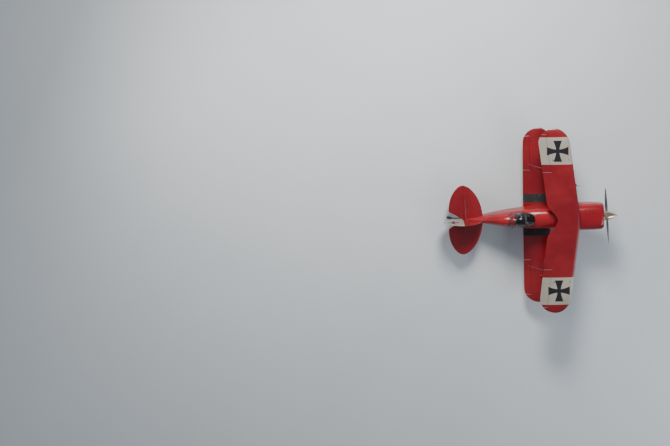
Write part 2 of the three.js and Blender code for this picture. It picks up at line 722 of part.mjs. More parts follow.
function addWings() {

	addMesh( 'upper_wing', upperWing.add( strutBolts() ), 'red' );
	SIDES.forEach( ( { name, sign }, i ) => {

		addMesh( `lower_wing_${ name }`, lowerWings[ i ], 'red' );
		const upperBracket = linkBracket( UPPER_AILERON, sign, - 1, ...LINK.upper );
		const upper = aileronForm( UPPER_AILERON, sign ).add( aileronPins( UPPER_AILERON, sign, 0 ) );
		addMesh( `upper_aileron_${ name }`, upper.add( upperBracket ), 'red' );
		const pin = linkPin( LOWER_AILERON, sign, 1 );
		const beside = ( y ) => point( pin.x, pin.y + y, pin.z );
		const hole = bar( beside( - 20 ), beside( 20 ), LINK.pin + 0.4, 10 );
		const bracket = linkBracket( LOWER_AILERON, sign, 1, - LINK.plate, LINK.plate ).subtract( hole );
		const lower = aileronForm( LOWER_AILERON, sign ).add( aileronPins( LOWER_AILERON, sign, 0 ) );
		addMesh( `lower_aileron_${ name }`, lower.add( bracket ), 'red' );
		addMesh( `aileron_link_${ name }`, aileronLink( sign ), 'steel' );

	} );

}

// The rod that makes the upper aileron follow the lower one; its upper eye stands beside the bracket
function aileronLink( sign ) {

	const { eye, near, width, rod } = LINK;
	const ends = [ linkPin( LOWER_AILERON, sign, 1 ), linkPin( UPPER_AILERON, sign, - 1 ) ];
	const shift = ( p, y ) => point( p.x, p.y + sign * y, p.z );
	const eyes = ends.map( ( p ) => bar( shift( p, near ), shift( p, near + width ), eye, 12 ) );
	const middle = near + width / 2;
	const shaft = bar( shift( ends[ 0 ], middle ), shift( ends[ 1 ], middle ), rod, 8, 2 );
	const pin = bar( shift( ends[ 0 ], - LINK.plate - 2 ), shift( ends[ 0 ], near + 1 ), LINK.pin, 10 );
	return join( [ ...eyes, shaft, pin ] );

}

// Struts and stays

const STRUT = { top: [ - 1580, - 2150 ], foot: [ - 2200, - 2750 ], half: 62, thick: 30, reach: 1040 };

// A streamlined section in the XY plane from its front and rear edges
function slimRing( front, rear, y, z, thick ) {

	const x = ( share ) => front + ( rear - front ) * share;
	const side = [ [ 0.12, 0.36 ], [ 0.35, 0.5 ], [ 0.75, 0.32 ] ];
	const at = ( [ share, out ] ) => point( x( share ), y + thick * out, z );
	const other = side.map( ( [ share, out ] ) => at( [ share, - out ] ) ).reverse();
	return [ at( [ 0, 0 ] ), ...side.map( at ), at( [ 1, 0 ] ), ...other ];

}

// Narrow in the middle, flaring at both ends to reach the two spars of each wing
function interplaneStrut( sign ) {

	const lowest = wingRow( LOWER, STRUT_SPAN ).z;
	const middle = ( [ a, b ] ) => ( a + b ) / 2;
	const flare = ( STRUT.top[ 0 ] - STRUT.top[ 1 ] ) / 2 - STRUT.half;
	const rings = [ 0, 0.05, 0.09, 0.14, 0.22, 0.5, 0.78, 0.86, 0.91, 0.95, 1 ].map( ( share ) => {

		const z = lowest + ( UPPER.height - lowest ) * share;
		const x = middle( STRUT.foot ) + ( middle( STRUT.top ) - middle( STRUT.foot ) ) * share;
		const half = STRUT.half + flare * Math.abs( 2 * share - 1 ) ** 9;
		return slimRing( x + half, x - half, sign * STRUT_SPAN, z, STRUT.thick );

	} );
	const underWing = seatOn( loft( rings ), upperWing, [ 0, 0, - 1 ] );
	return seatOn( underWing, lowerWings[ sign > 0 ? 0 : 1 ], [ 0, 0, 1 ] );

}

const CABANE = table( [ 'footX', 'footY', 'footZ', 'topX', 'topY', 'topZ' ], [
	[ - 1520, 345, 260, - 1400, 310, 660 ],
	[ - 2010, 315, 280, - 1900, 310, 660 ],
	[ - 1505, 340, 320, - 1914, 310, 585 ],
] );

function cabane( sign ) {

	const struts = CABANE.map( ( row ) => bar(
		point( row.footX, sign * row.footY, row.footZ ),
		point( row.topX, sign * row.topY, row.topZ ), 12, 8, 2.2 ) );
	return seatOn( seatOn( join( struts ), upperWing, [ 0, 0, - 1 ] ), fuselageForm, [ 0, 0, 1 ] );

}

const STAY_SPAN = STRUT_SPAN - 45;
const STAYS = table( [ 'name', 'x0', 'y0', 'z0', 'x1', 'z1' ], [
	[ 'flying_wire_front', - 2215, 345, - 470, - 1607, 650 ],
	[ 'flying_wire_rear', - 2265, 345, - 470, - 2121, 650 ],
	[ 'landing_wire', - 2100, 300, 190, - 2475, - 390 ],
] );

// A streamlined wire with a round barrel at each end
function wireWithEnds( from, to, radius, barrel ) {

	const along = to.clone().sub( from ).normalize();
	const ends = [ [ from, barrel.length ], [ to, - barrel.length ] ].map( ( [ end, length ] ) =>
		bar( end, end.clone().addScaledVector( along, length ), barrel.radius, 8 ) );
	return join( [ bar( from, to, radius, 6, 1.6 ), ...ends ] );

}

function stay( row, sign ) {

	const from = point( row.x0, sign * row.y0, row.z0 );
	const to = point( row.x1, sign * STAY_SPAN, row.z1 );
	const rod = wireWithEnds( from, to, 4, { radius: 8, length: 125 } );
	const wing = lowerWings[ sign > 0 ? 0 : 1 ];
	const clear = seatOn( seatOn( rod, upperWing, [ 0, 0, - 1 ] ), wing, [ 0, 0, 1 ] );
	return seatOn( clear, fuselageForm, [ 0, sign, 0 ] );

}

function addRigging() {

	for ( const { name, sign } of SIDES ) {

		addMesh( `interplane_strut_${ name }`, interplaneStrut( sign ), 'red' );
		addMesh( `cabane_struts_${ name }`, cabane( sign ), 'red' );
		STAYS.forEach( ( row ) => addMesh( `${ row.name }_${ name }`, stay( row, sign ), 'steel' ) );

	}

	const pitot = { y: 1140, radius: 8, length: 120 };
	const edge = wingRow( UPPER, pitot.y ).leading;
	const ahead = ( distance ) => point( edge + distance, pitot.y, UPPER.height );
	const socket = bar( ahead( - 40 ), ahead( 18 ), pitot.radius + 5, 10 );
	const tube = bar( ahead( - 40 ), ahead( pitot.length ), pitot.radius, 8 ).add( socket );
	addMesh( 'pitot_tube', seatOn( tube, upperWing, [ 1, 0, 0 ] ), 'dark' );

}

// Tail

const STAB = { half: 1145, chord: 650, rim: 8, crown: 14 };
const STAB_SHARES = [ 0.29, 0.44, 0.6, 0.75, 0.86, 0.935, 0.978, 0.9965 ]; // stations of the half span
const ELEVATOR = { inner: 50, slope: 1.84, start: 30, wide: 330, length: 460, lugs: [ 350, 900 ], tube: 12 };
const RUDDER = {
	bottom: - 75, top: 1116, belly: 430, above: 690, below: 520, length: 640, lugs: [ 20, 450, 900 ],
};
const FIN = { foot: 200, height: 920, chord: 650 };
const LUG = {
	width: 8, eye: 9, pin: 4, slack: 0.5, root: 46, drill: 40,
	slotBack: 16, slotFront: 60, slotHalf: 60, pinHalf: 9,
};

function roundOff( share ) {

	return Math.sqrt( Math.max( 0, 1 - share * share ) );

}

function stabThick( y ) {

	return STAB.rim + STAB.crown * roundOff( y / STAB.half );

}

// A thin section ending at the hinge line, thickest halfway forward
function fixedRing( hinge, side, radius, chord ) {

	const outline = [ [ 0, 1 ], [ 0.45, 1.25 ], [ 0.8, 0.95 ], [ 0.95, 0.55 ] ];
	const at = ( [ forward, out ], way ) => hinge.clone()
		.addScaledVector( BACK, - forward * chord ).addScaledVector( side, way * out * radius );
	return [ ...outline.map( ( pair ) => at( pair, 1 ) ), at( [ 1, 0 ], 1 ),
		...outline.map( ( pair ) => at( pair, - 1 ) ).reverse() ];

}

function stabForm( sign ) {

	const stations = [ 34, 200, ...STAB_SHARES.map( ( share ) => share * STAB.half ) ];
	return loft( stations.map( ( y ) => fixedRing( point( HINGE, sign * y, TAIL_HEIGHT ),
		point( 0, 0, 1 ), stabThick( y ), STAB.chord * roundOff( y / STAB.half ) ) ) );

}

function elevatorLength( y ) {

	const inboard = ( y - ELEVATOR.start ) * ELEVATOR.slope;
	const reach = Math.max( 0, y - ELEVATOR.wide ) / ( STAB.half - ELEVATOR.wide );
	return Math.min( inboard, ELEVATOR.length * roundOff( reach ) );

}

function elevatorForm( sign, grow = 0 ) {

	const outboard = STAB_SHARES.slice( 1 ).map( ( share ) => share * STAB.half );
	outboard[ outboard.length - 1 ] += grow * 2;
	const stations = [ ELEVATOR.inner - grow * 4, 150, 240, 272, ELEVATOR.wide, ...outboard ];
	return loft( stations.map( ( y ) => flapRing( point( HINGE, sign * y, TAIL_HEIGHT ),
		point( 0, 0, 1 ), stabThick( y ), Math.max( elevatorLength( y ), 24 ), grow ) ) );

}

// A round bar along the hinge, reaching equally far to both sides of a centre
function throughPin( centre, along, reach, radius ) {

	const end = ( way ) => centre.clone().addScaledVector( along, way * reach );
	return bar( end( - 1 ), end( 1 ), radius, 10 );

}

// A lug standing back from a fixed surface; its width lies along the hinge
function hingeLug( centre, along, up ) {

	const half = along.clone().multiplyScalar( LUG.width / 2 );
	const eye = bar( centre.clone().sub( half ), centre.clone().add( half ), LUG.eye, 12 );
	const ring = ( x ) => [ [ 1, 1 ], [ 1, - 1 ], [ - 1, - 1 ], [ - 1, 1 ] ].map( ( [ a, b ] ) =>
		centre.clone().addScaledVector( half, a ).addScaledVector( up, b * ( LUG.eye - 1 ) ).setX( x ) );
	const hole = throughPin( centre, along, LUG.drill, LUG.pin + LUG.slack );
	return eye.add( loft( [ ring( HINGE ), ring( HINGE + LUG.root ) ] ) ).subtract( hole );

}

// The slot in a moving surface round a lug, and the pin across it
function lugSlot( centre, along, up ) {

	const half = along.clone().multiplyScalar( LUG.width / 2 + SEAT_GAP );
	const ring = ( x ) => [ [ 1, 1 ], [ 1, - 1 ], [ - 1, - 1 ], [ - 1, 1 ] ].map( ( [ a, b ] ) =>
		centre.clone().addScaledVector( half, a ).addScaledVector( up, b * LUG.slotHalf ).setX( x ) );
	return loft( [ ring( HINGE - LUG.slotBack ), ring( HINGE + LUG.slotFront ) ] );

}

function withSlots( form, centres, along, up ) {

	const slots = join( centres.map( ( centre ) => lugSlot( centre, along, up ) ) );
	const pins = centres.map( ( centre ) => throughPin( centre, along, LUG.pinHalf, LUG.pin ) );
	return form.subtract( slots ).add( join( pins ) );

}

function rudderThick( z ) {

	return 9 + 11 * roundOff( ( z - 300 ) / 860 );

}

function rudderForm( grow = 0 ) {

	const { bottom, top, belly, above, below, length } = RUDDER;
	const heights = [ bottom - grow, 0, 120, 260, belly, 620, 800, 940, 1040, 1090, top + grow * 2 ];
	return loft( heights.map( ( z ) => {

		const rise = Math.min( z - belly, above - 4 ) / above;
		const share = roundOff( z > belly ? rise : ( belly - z ) / below );
		return flapRing( point( HINGE, 0, z ), point( 0, 1, 0 ), rudderThick( z ), length * share, grow );

	} ) );

}

const RUDDER_AXES = [ point( 0, 0, 1 ), point( 0, 1, 0 ) ];
const ELEVATOR_AXES = [ point( 0, 1, 0 ), point( 0, 0, 1 ) ];
const rudderLugs = RUDDER.lugs.map( ( z ) => point( HINGE, 0, z ) );
const elevatorLugs = ( sign ) => ELEVATOR.lugs.map( ( y ) => point( HINGE, sign * y, TAIL_HEIGHT ) );

const finForm = loft( [ FIN.foot, 400, 600, 780, 920, 1020, 1080, RUDDER.top ].map( ( z ) =>
	fixedRing( point( HINGE, 0, z ), point( 0, 1, 0 ), rudderThick( z ),
		FIN.chord * roundOff( ( z - FIN.foot ) / FIN.height ) ) ) );
const finLugs = rudderLugs.slice( 1 ).map( ( centre ) => hingeLug( centre, ...RUDDER_AXES ) );
const fin = seatOn( finForm.subtract( rudderForm( RUN_GAP ) ), fuselageForm, [ 0, 0, 1 ] )
	.add( join( finLugs ) );
const stabs = SIDES.map( ( { sign } ) => {

	const lugs = elevatorLugs( sign ).map( ( centre ) => hingeLug( centre, ...ELEVATOR_AXES ) );
	const body = stabForm( sign ).subtract( elevatorForm( sign, RUN_GAP ) ).subtract( fuselageForm )
		.subtract( fuselageForm.translate( [ 0, sign * SEAT_GAP, 0 ] ) );
	return body.add( join( lugs ) );

} );

const TAIL_WIRES = table( [ 'name', 'x0', 'y0', 'z0', 'x1', 'y1' ], [
	[ 'upper', - 4950, 6, 700, - 4960, 690 ],
	[ 'lower', - 4860, 10, - 60, - 4960, 690 ],
] );

function addTail() {

	addMesh( 'fin', fin, 'red' );
	const notch = box( HINGE - 40, HINGE + 60, - 60, 60, TAIL_HEIGHT - 26, TAIL_HEIGHT + 26 );
	const rudder = withSlots( rudderForm().subtract( notch ), rudderLugs, ...RUDDER_AXES );
	addMesh( 'rudder', rudder, 'white' );

	const elevators = SIDES.map( ( { sign } ) =>
		withSlots( elevatorForm( sign ), elevatorLugs( sign ), ...ELEVATOR_AXES ) );
	const onTube = ( y ) => point( HINGE, y, TAIL_HEIGHT );
	const tube = bar( onTube( - 60 ), onTube( 60 ), ELEVATOR.tube, 12 );
	addMesh( 'elevator', join( [ ...elevators, tube ] ), 'red' );

	SIDES.forEach( ( { name, sign }, i ) => {

		addMesh( `stabilizer_${ name }`, stabs[ i ], 'red' );
		for ( const wire of TAIL_WIRES ) {

			const from = point( wire.x0, sign * wire.y0, wire.z0 );
			const to = point( wire.x1, sign * wire.y1, TAIL_HEIGHT );
			const rod = wireWithEnds( from, to, 3, { radius: 6, length: 75 } );
			const onStab = seatOn( rod, stabs[ i ], [ 0, 0, wire.z0 > TAIL_HEIGHT ? 1 : - 1 ] );
			const onFin = seatOn( onStab, fin, [ 0, sign, 0 ] );
			addMesh( `tail_wire_${ wire.name }_${ name }`, seatOn( onFin, fuselageForm, [ 0, sign, 0 ] ), 'steel' );

		}

	} );

}

// Landing gear

const span = MAIN_WHEEL.x - TAIL_WHEEL.x;
const drop = MAIN_WHEEL.z - TAIL_WHEEL.z;
const PITCH = Math.asin( ( MAIN_WHEEL.radius - TAIL_WHEEL.radius ) / Math.hypot( span, drop ) )
	- Math.atan2( drop, span );

// A wheel about the Y axis from a closed outline of [ radius, y ] pairs
function wheelSolid( outline, sides ) {

	const closed = [ ...outline, outline[ 0 ] ].map( ( [ radius, y ] ) => new THREE.Vector2( radius, y ) );
	return toSolid( new THREE.LatheGeometry( closed, sides ) );

}

function mirrored( half ) {

	return [ ...half.map( ( [ radius, y ] ) => [ radius, - y ] ), ...half.slice().reverse() ];

}

const PANT = table( [ 'x', 'half', 'bottom', 'waist', 'top', 'crown', 'keel' ], [
	[ 268, 22, - 22, 4, 30, 2, 2 ],
	[ 244, 58, - 56, 8, 84, 2, 2 ],
	[ 180, 98, - 92, 12, 168, 2.2, 2.4 ],
	[ 20, 112, - 102, 20, 218, 2.4, 3 ],
	[ - 200, 104, - 96, 20, 190, 2.2, 2.6 ],
	[ - 400, 62, - 66, 14, 112, 2, 2 ],
	[ - 540, 16, - 24, 6, 32, 2, 2 ],
] );
const WELL = { sides: 28, rings: [ [ - 68, 176 ], [ - 46, 188 ], [ 46, 188 ], [ 68, 176 ] ] };
const LEG = {
	topZ: - 440, topY: 285, topX: [ - 1340, - 1850 ],
	footZ: - 1012, footY: 682, footX: [ - 1448, - 1566 ], thick: 34,
};
const HUBCAP = { radius: 30, inner: 96, outer: 117 };

// The hollow round a wheel, lower at its sides, from [ y, radius ] pairs
function wheelWell() {

	const { sides, rings } = WELL;
	return loft( rings.map( ( [ y, radius ] ) => Array.from( { length: sides }, ( _, i ) => {

		const angle = 2 * Math.PI * ( i + 0.5 ) / sides;
		return point( radius * Math.cos( angle ), y, radius * Math.sin( angle ) );

	} ) ) );

}

function addMainGear( name, sign ) {

	const { x, y, z, axle } = MAIN_WHEEL;
	const leg = loft( [ slimRing( ...LEG.topX, sign * LEG.topY, LEG.topZ, LEG.thick ),
		slimRing( ...LEG.footX, sign * LEG.footY, LEG.footZ, LEG.thick - 6 ) ] );
	const stub = bar( point( x, sign * LEG.footY, z ), point( x, sign * ( y + 64 ), z ), axle, 14 );
	addMesh( `gear_leg_${ name }`, seatOn( leg, fuselageForm, [ 0, 0, - 1 ] ).add( stub ), 'red' );

	const form = loft( PANT.map( ( row ) => bodyRing( row ) ) );
	const bore = bar( point( 0, - sign * 200, 0 ), point( 0, 0, 0 ), axle + 0.4, 14 );
	const { inner, outer } = HUBCAP;
	const cap = bar( point( 0, sign * inner, 0 ), point( 0, sign * outer, 0 ), HUBCAP.radius, 16 );
	const shell = form.add( cap ).subtract( wheelWell() ).subtract( bore );
	const pant = addMesh( `wheel_pant_${ name }`, shell, 'red' );
	pant.position.set( x, sign * y, z );

	const { radius, width, rim } = MAIN_WHEEL;
	const tread = mirrored(
		[ [ rim + 0.3, 42 ], [ 112, 58 ], [ 150, width / 2 ], [ 171, 48 ], [ radius, 22 ] ] );
	const tyre = addMesh( `tyre_${ name }`, wheelSolid( tread, 32 ), 'rubber' );
	tyre.position.set( x, sign * y, z );
	const disc = mirrored( [ [ axle + 0.5, 48 ], [ 38, 48 ], [ 42, 22 ], [ 66, 24 ], [ rim, 42 ] ] );
	const wheel = addMesh( `wheel_hub_${ name }`, wheelSolid( disc, 32 ), 'alloy' );
	wheel.position.set( x, sign * y, z );

}

// A place beside the tail wheel, in level axes: forward of its axle, to port and above it
function byTailWheel( forward, port, up ) {

	return point(
		TAIL_WHEEL.x + forward * Math.cos( PITCH ) + up * Math.sin( PITCH ),
		port,
		TAIL_WHEEL.z - forward * Math.sin( PITCH ) + up * Math.cos( PITCH ),
	);

}

const SPRING = {
	width: 50, thick: 12, front: - 4740, rear: - 4960, boss: 20, stem: 9, bossFoot: 97, bossTop: 136,
	shortLeaf: - 4930, bolts: [ - 4775, - 4890 ],
};
const SQUARE = [ [ 1, 1 ], [ 1, - 1 ], [ - 1, - 1 ], [ - 1, 1 ] ];

// A box in level axes beside the tail wheel
function slab( centre, halfX, halfY, halfZ ) {

	const [ x, y, z ] = centre;
	return loft( [ - 1, 1 ].map( ( end ) => SQUARE.map( ( [ a, b ] ) =>
		byTailWheel( x + a * halfX, y + b * halfY, z + end * halfZ ) ) ) );

}

function addTailWheel() {

	const { radius, width, rim, axle, trail } = TAIL_WHEEL;
	const bottomAt = ( x ) => rowAt( BODY, x ).bottom - SPRING.thick / 2;
	const onStem = ( height ) => byTailWheel( trail, 0, height );
	const bossMiddle = onStem( ( SPRING.bossFoot + SPRING.bossTop ) / 2 );
	const { front, rear, shortLeaf, thick } = SPRING;
	const leafOf = ( route ) => loft( route.map( ( [ x, z, share ] ) => SQUARE.map( ( [ a, b ] ) =>
		point( x, a * share * SPRING.width / 2, z + b * thick / 2 ) ) ) );
	const leaf = leafOf( [ [ front, bottomAt( front ), 1 ], [ rear, bottomAt( rear ) + 1, 1 ],
		[ - 5060, - 104, 0.95 ], [ - 5200, - 112, 0.85 ], [ bossMiddle.x, bossMiddle.z, 0.7 ] ] );
	const second = leafOf( [ [ front, bottomAt( front ) - thick + 1, 0.96 ],
		[ shortLeaf, bottomAt( shortLeaf ) - thick + 1, 0.8 ] ] );
	const bolts = SPRING.bolts.map( ( x ) => bar(
		point( x, 0, bottomAt( x ) - thick ), point( x, 0, bottomAt( x ) - 2.2 * thick ), 9, 6 ) );
	const boss = bar( onStem( SPRING.bossFoot ), onStem( SPRING.bossTop ), SPRING.boss, 14 );
	const bore = bar( onStem( 60 ), onStem( 180 ), SPRING.stem + 0.4, 14 );
	const leaves = seatOn( leaf, fuselageForm, [ 0, 0, - 1 ] ).add( second ).add( join( bolts ) );
	addMesh( 'tail_spring', leaves.add( boss ).subtract( bore ), 'steel' );

	const crownTop = SPRING.bossFoot - SEAT_GAP;
	const half = width / 2 + 12;
	const crown = slab( [ trail / 2 - 4, 0, crownTop - 6 ], trail / 2 + 22, half, 6 );
	const armEnds = [ [ - 14, 16, - 16 ], [ crownTop - 4, trail * 0.9, - 18 ] ];
	const arms = [ - 1, 1 ].map( ( sign ) => loft( armEnds.map( ( [ z, ahead, back ] ) =>
		[ [ ahead, half ], [ ahead, half - 7 ], [ back, half - 7 ], [ back, half ] ].map( ( [ x, y ] ) =>
			byTailWheel( x, sign * y, z ) ) ) ) );
	const stem = bar( onStem( crownTop - 6 ), onStem( SPRING.bossTop + 8 ), SPRING.stem, 14 );
	const nut = bar( onStem( SPRING.bossTop + 1 ), onStem( SPRING.bossTop + 12 ), SPRING.stem + 5, 6 );
	const pin = bar( byTailWheel( 0, - half, 0 ), byTailWheel( 0, half, 0 ), axle, 12 );
	const axleNuts = [ - 1, 1 ].map( ( sign ) =>
		bar( byTailWheel( 0, sign * ( half - 1 ), 0 ), byTailWheel( 0, sign * ( half + 8 ), 0 ), 12, 6 ) );
	addMesh( 'tailwheel_fork', join( [ crown, ...arms, stem, nut, pin, ...axleNuts ] ), 'steel' );

	const outline = mirrored( [ [ axle + 0.4, 20 ], [ 28, 20 ], [ rim, width / 2 - 2 ],
		[ 60, width / 2 ], [ 71, 16 ], [ radius, 8 ] ] );
	const wheel = addMesh( 'tailwheel', wheelSolid( outline, 24 ), 'rubber' );
	wheel.position.set( TAIL_WHEEL.x, 0, TAIL_WHEEL.z );

}

// Propeller, its blades along the rotor's own Y axis

function bladeRing( row ) {

	const shares = [ 0, 0.1, 0.3, 0.55, 0.8, 1, 0.8, 0.55, 0.3, 0.1 ];
	const depths = [ 0, 0.34, 0.5, 0.44, 0.25, 0, - 0.25, - 0.44, - 0.5, - 0.34 ];
	const twist = radians( row.twist );
	return shares.map( ( share, i ) => {

		const along = ( 0.42 - share ) * row.chord;
		const out = depths[ i ] * row.thick;
		return point(
			SPINNER.plane + along * Math.sin( twist ) + out * Math.cos( twist ),
			row.radius,
			along * Math.cos( twist ) - out * Math.sin( twist ),
		);

	} );

}

function shankRing( distance ) {

	const lead = radians( 90 - BLADE[ 0 ].twist );
	return Array.from( { length: 10 }, ( _, i ) => {

		const angle = lead - 2 * Math.PI * i / 10;
		const [ ahead, up ] = [ Math.cos( angle ), Math.sin( angle ) ];
		return point( SPINNER.plane + SHANK.radius * ahead, distance, SHANK.radius * up );

	} );

}

function addPropeller() {

	const rotor = new THREE.Group();
	rotor.rotation.x = - radians( BLADE_ANGLE );
	airframe.add( rotor );

	const { radius, base, hub, hubFront, plane } = SPINNER;
	const shank = [ shankRing( 30 ), shankRing( SHANK.end ) ];
	const blade = loft( [ ...shank, ...BLADE.map( ( row ) => bladeRing( row ) ) ] );
	const barrel = turned( [ [ hubFront, 0 ], [ hubFront, hub ], [ base + 2, hub ], [ base + 2, 0 ] ], 20 );
	addMesh( 'propeller', join( [ blade, blade.rotate( [ 180, 0, 0 ] ), barrel ] ), 'blade', rotor );

	const curve = [ 0, 0.06, 0.14, 0.24, 0.36, 0.5, 0.65, 0.82, 1 ].map( ( share ) =>
		[ base * share, radius * ( 1 - ( 1 - share ) ** 1.9 ) ] );
	const [ holeFront, holeRadius ] = [ hubFront + SEAT_GAP, hub + 0.5 ];
	const hole = turned(
		[ [ holeFront, 0 ], [ holeFront, holeRadius ], [ base - 5, holeRadius ], [ base - 5, 0 ] ], 20 );
	const shanks = bar( point( plane, - 200, 0 ), point( plane, 200, 0 ), SHANK.radius + 2.5, 20 );
	const cone = turned( [ ...curve, [ base, 0 ] ], 36 ).subtract( hole ).subtract( shanks );
	addMesh( 'spinner', cone, 'champagne', rotor );

}

addFuselage();
addCowl();
addEngine();
addGlass();
addCockpit();
addWings();
addRigging();
addTail();
SIDES.forEach( ( { name, sign } ) => addMainGear( name, sign ) );
addTailWheel();
addPropeller();

// Pitched up to the three-point attitude, with the middle of the box over the origin
airframe.rotation.y = - PITCH;
const bounds = new THREE.Box3().setFromObject( airframe, true );
const middle = bounds.getCenter( point( 0, 0, 0 ) );
airframe.position.set( - middle.x, - middle.y, - bounds.min.z );

const biplane = new THREE.Group();
biplane.add( airframe );

export default biplane;
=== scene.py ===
"""A small red single-seat aerobatic biplane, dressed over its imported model.

Shapes are made in the airframe's own axes, in millimetres: X forward, Y to port, Z up, from
the spinner's tip. Each finished piece is then turned into the row frame, in metres.
"""

import math
from collections import namedtuple
from functools import partialmethod

import bmesh
import bpy
from bpy.props import FloatProperty, FloatVectorProperty, PointerProperty
from bpy.utils import register_class, unregister_class
from mathutils import Matrix, Vector
from mathutils.bvhtree import BVHTree


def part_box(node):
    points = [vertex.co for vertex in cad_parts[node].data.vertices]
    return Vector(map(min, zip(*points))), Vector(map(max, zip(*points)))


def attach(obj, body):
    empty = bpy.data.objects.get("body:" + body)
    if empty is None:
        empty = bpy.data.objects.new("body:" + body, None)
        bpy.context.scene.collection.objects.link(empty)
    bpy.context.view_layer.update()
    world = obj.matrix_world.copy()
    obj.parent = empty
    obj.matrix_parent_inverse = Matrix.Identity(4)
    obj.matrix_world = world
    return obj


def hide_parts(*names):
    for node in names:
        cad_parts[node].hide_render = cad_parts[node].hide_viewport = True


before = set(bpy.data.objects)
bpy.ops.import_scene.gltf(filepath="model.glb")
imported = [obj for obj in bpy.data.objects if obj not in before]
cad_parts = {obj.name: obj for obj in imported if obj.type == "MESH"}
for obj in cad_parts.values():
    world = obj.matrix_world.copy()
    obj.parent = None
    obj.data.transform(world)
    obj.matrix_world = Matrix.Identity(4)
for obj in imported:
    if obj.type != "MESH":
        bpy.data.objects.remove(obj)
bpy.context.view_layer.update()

bl_info = {
    "name": "Aerobatic biplane",
    "version": (1, 0, 0),
    "blender": (4, 5, 0),
    "location": "View3D > Sidebar > Biplane",
    "description": "Builds the looks of a small red aerobatic biplane round its packed model",
    "category": "Add Mesh",
}

TAU = 2 * math.pi
SIDES = (("left", 1), ("right", -1))
SIGNS = (1, -1)
CORNERS = ((1, 1), (1, -1), (-1, -1), (-1, 1))
ALONG_Y, ALONG_Z = Vector((0, 1, 0)), Vector((0, 0, 1))


def table(columns, lines):
    """Lines of numbers as rows with named columns."""
    row = namedtuple("Row", columns)
    return [row(*line) for line in lines]


# Places and sizes shared by several pieces

NOSE, FIREWALL, PANEL, BOW, CANOPY_REAR = -433, -1290, -2690, -3007, -3540
DECK_SPLIT, SILL, BULKHEAD, DECK_END, HINGE = 240, 330, -3330, -4300, -5030
TAIL_HEIGHT, SHELL, COWL_WALL = 180, 28, 8
SEAT_GAP, RUN_GAP = 0.3, 6
FAR = 4000
MAIN = Vector((-1500, 820, -1010))
TAIL = Vector((-5465, 0, -270))
MAIN_RADIUS, TAIL_RADIUS, TRAIL = 180, 75, 62

BODY = table("x half bottom waist top crown keel", [
    (NOSE, 335, -315, 0, 255, 2.6, 2.6),
    (-452, 385, -362, 0, 303, 2.8, 2.8),
    (-540, 424, -410, 0, 340, 3, 3.4),
    (-900, 438, -466, 20, 372, 2.8, 4),
    (FIREWALL, 430, -502, 60, 398, 2.5, 4.2),
    (-2100, 350, -530, 150, 425, 2.3, 5),
    (PANEL, 328, -535, 200, 440, 2.2, 6),
    (-3030, 300, -525, 200, 440, 2.2, 6),
    (-3546, 250, -480, 190, 560, 2, 5),
    (-4400, 120, -290, 130, 345, 2, 3.5),
    (HINGE + 26, 32, -95, 100, 225, 2, 2.5),
])
GLASS = table("x half top", [
    (PANEL, 205, 432),
    (-2780, 228, 540),
    (-2880, 242, 640),
    (BOW, 250, 728),
    (-3200, 246, 745),
    (-3400, 234, 680),
    (CANOPY_REAR, 222, 590),
])
PANT = table("x half bottom waist top crown keel", [
    (268, 22, -22, 4, 30, 2, 2),
    (244, 58, -56, 8, 84, 2, 2),
    (180, 98, -92, 12, 168, 2.2, 2.4),
    (20, 112, -102, 20, 218, 2.4, 3),
    (-200, 104, -96, 20, 190, 2.2, 2.6),
    (-400, 62, -66, 14, 112, 2, 2),
    (-540, 16, -24, 6, 32, 2, 2),
])

Wing = namedtuple(
    "Wing", "half chord leading straight sweep thick root height dihedral tip notch_half notch_depth")
UPPER = Wing(3050, 1020, -1263, 250, 7.2, 133, 0, 660, 0, 520, 580, 300)
LOWER = Wing(2895, 910, -2120, 0, 0, 118, 240, -475, 3, 480, 0, 0)
Aileron = namedtuple("Aileron", "wing inner outer hinge")
UPPER_AILERON = Aileron(UPPER, 1620, 2850, 754)
LOWER_AILERON = Aileron(LOWER, 1500, 2620, 700)
TIP_APEX = 0.43
STRUT_SPAN, LINK_SPAN = 2020, 1680
PANEL_EDGES = (1870, 2770)  # inner and outer edge of the white wing panels
CROSS = (-1960, 2312)  # middle of the black cross on a white panel
RIB_PITCH = 290

# Turns airframe millimetres into the row frame: nose up on its wheels, in metres
PITCH = math.asin((MAIN_RADIUS - TAIL_RADIUS) / math.hypot(MAIN.x - TAIL.x, MAIN.z - TAIL.z))
PITCH -= math.atan2(MAIN.z - TAIL.z, MAIN.x - TAIL.x)
TURN = Matrix.Rotation(-PITCH, 4, "Y") @ Matrix.Scale(0.001, 4)
tyre_low, tyre_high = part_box("tyre_left")
AIR = Matrix.Translation((tyre_low + tyre_high) / 2 - TURN @ MAIN) @ TURN


# Nodes

class Value:
    """An output socket. Arithmetic on it adds Math nodes to its tree."""

    def __init__(self, graph, socket):
        self.graph, self.socket = graph, socket

    def math(self, operation, *values):
        return self.graph.math(operation, self, *values)

    def flipped(self, operation, other):
        return self.graph.math(operation, other, self)

    def __abs__(self):
        return self.math("ABSOLUTE")

    __add__ = __radd__ = partialmethod(math, "ADD")
    __mul__ = __rmul__ = partialmethod(math, "MULTIPLY")
    __sub__, __rsub__ = partialmethod(math, "SUBTRACT"), partialmethod(flipped, "SUBTRACT")
    __truediv__, __rtruediv__ = partialmethod(math, "DIVIDE"), partialmethod(flipped, "DIVIDE")
    __pow__ = partialmethod(math, "POWER")


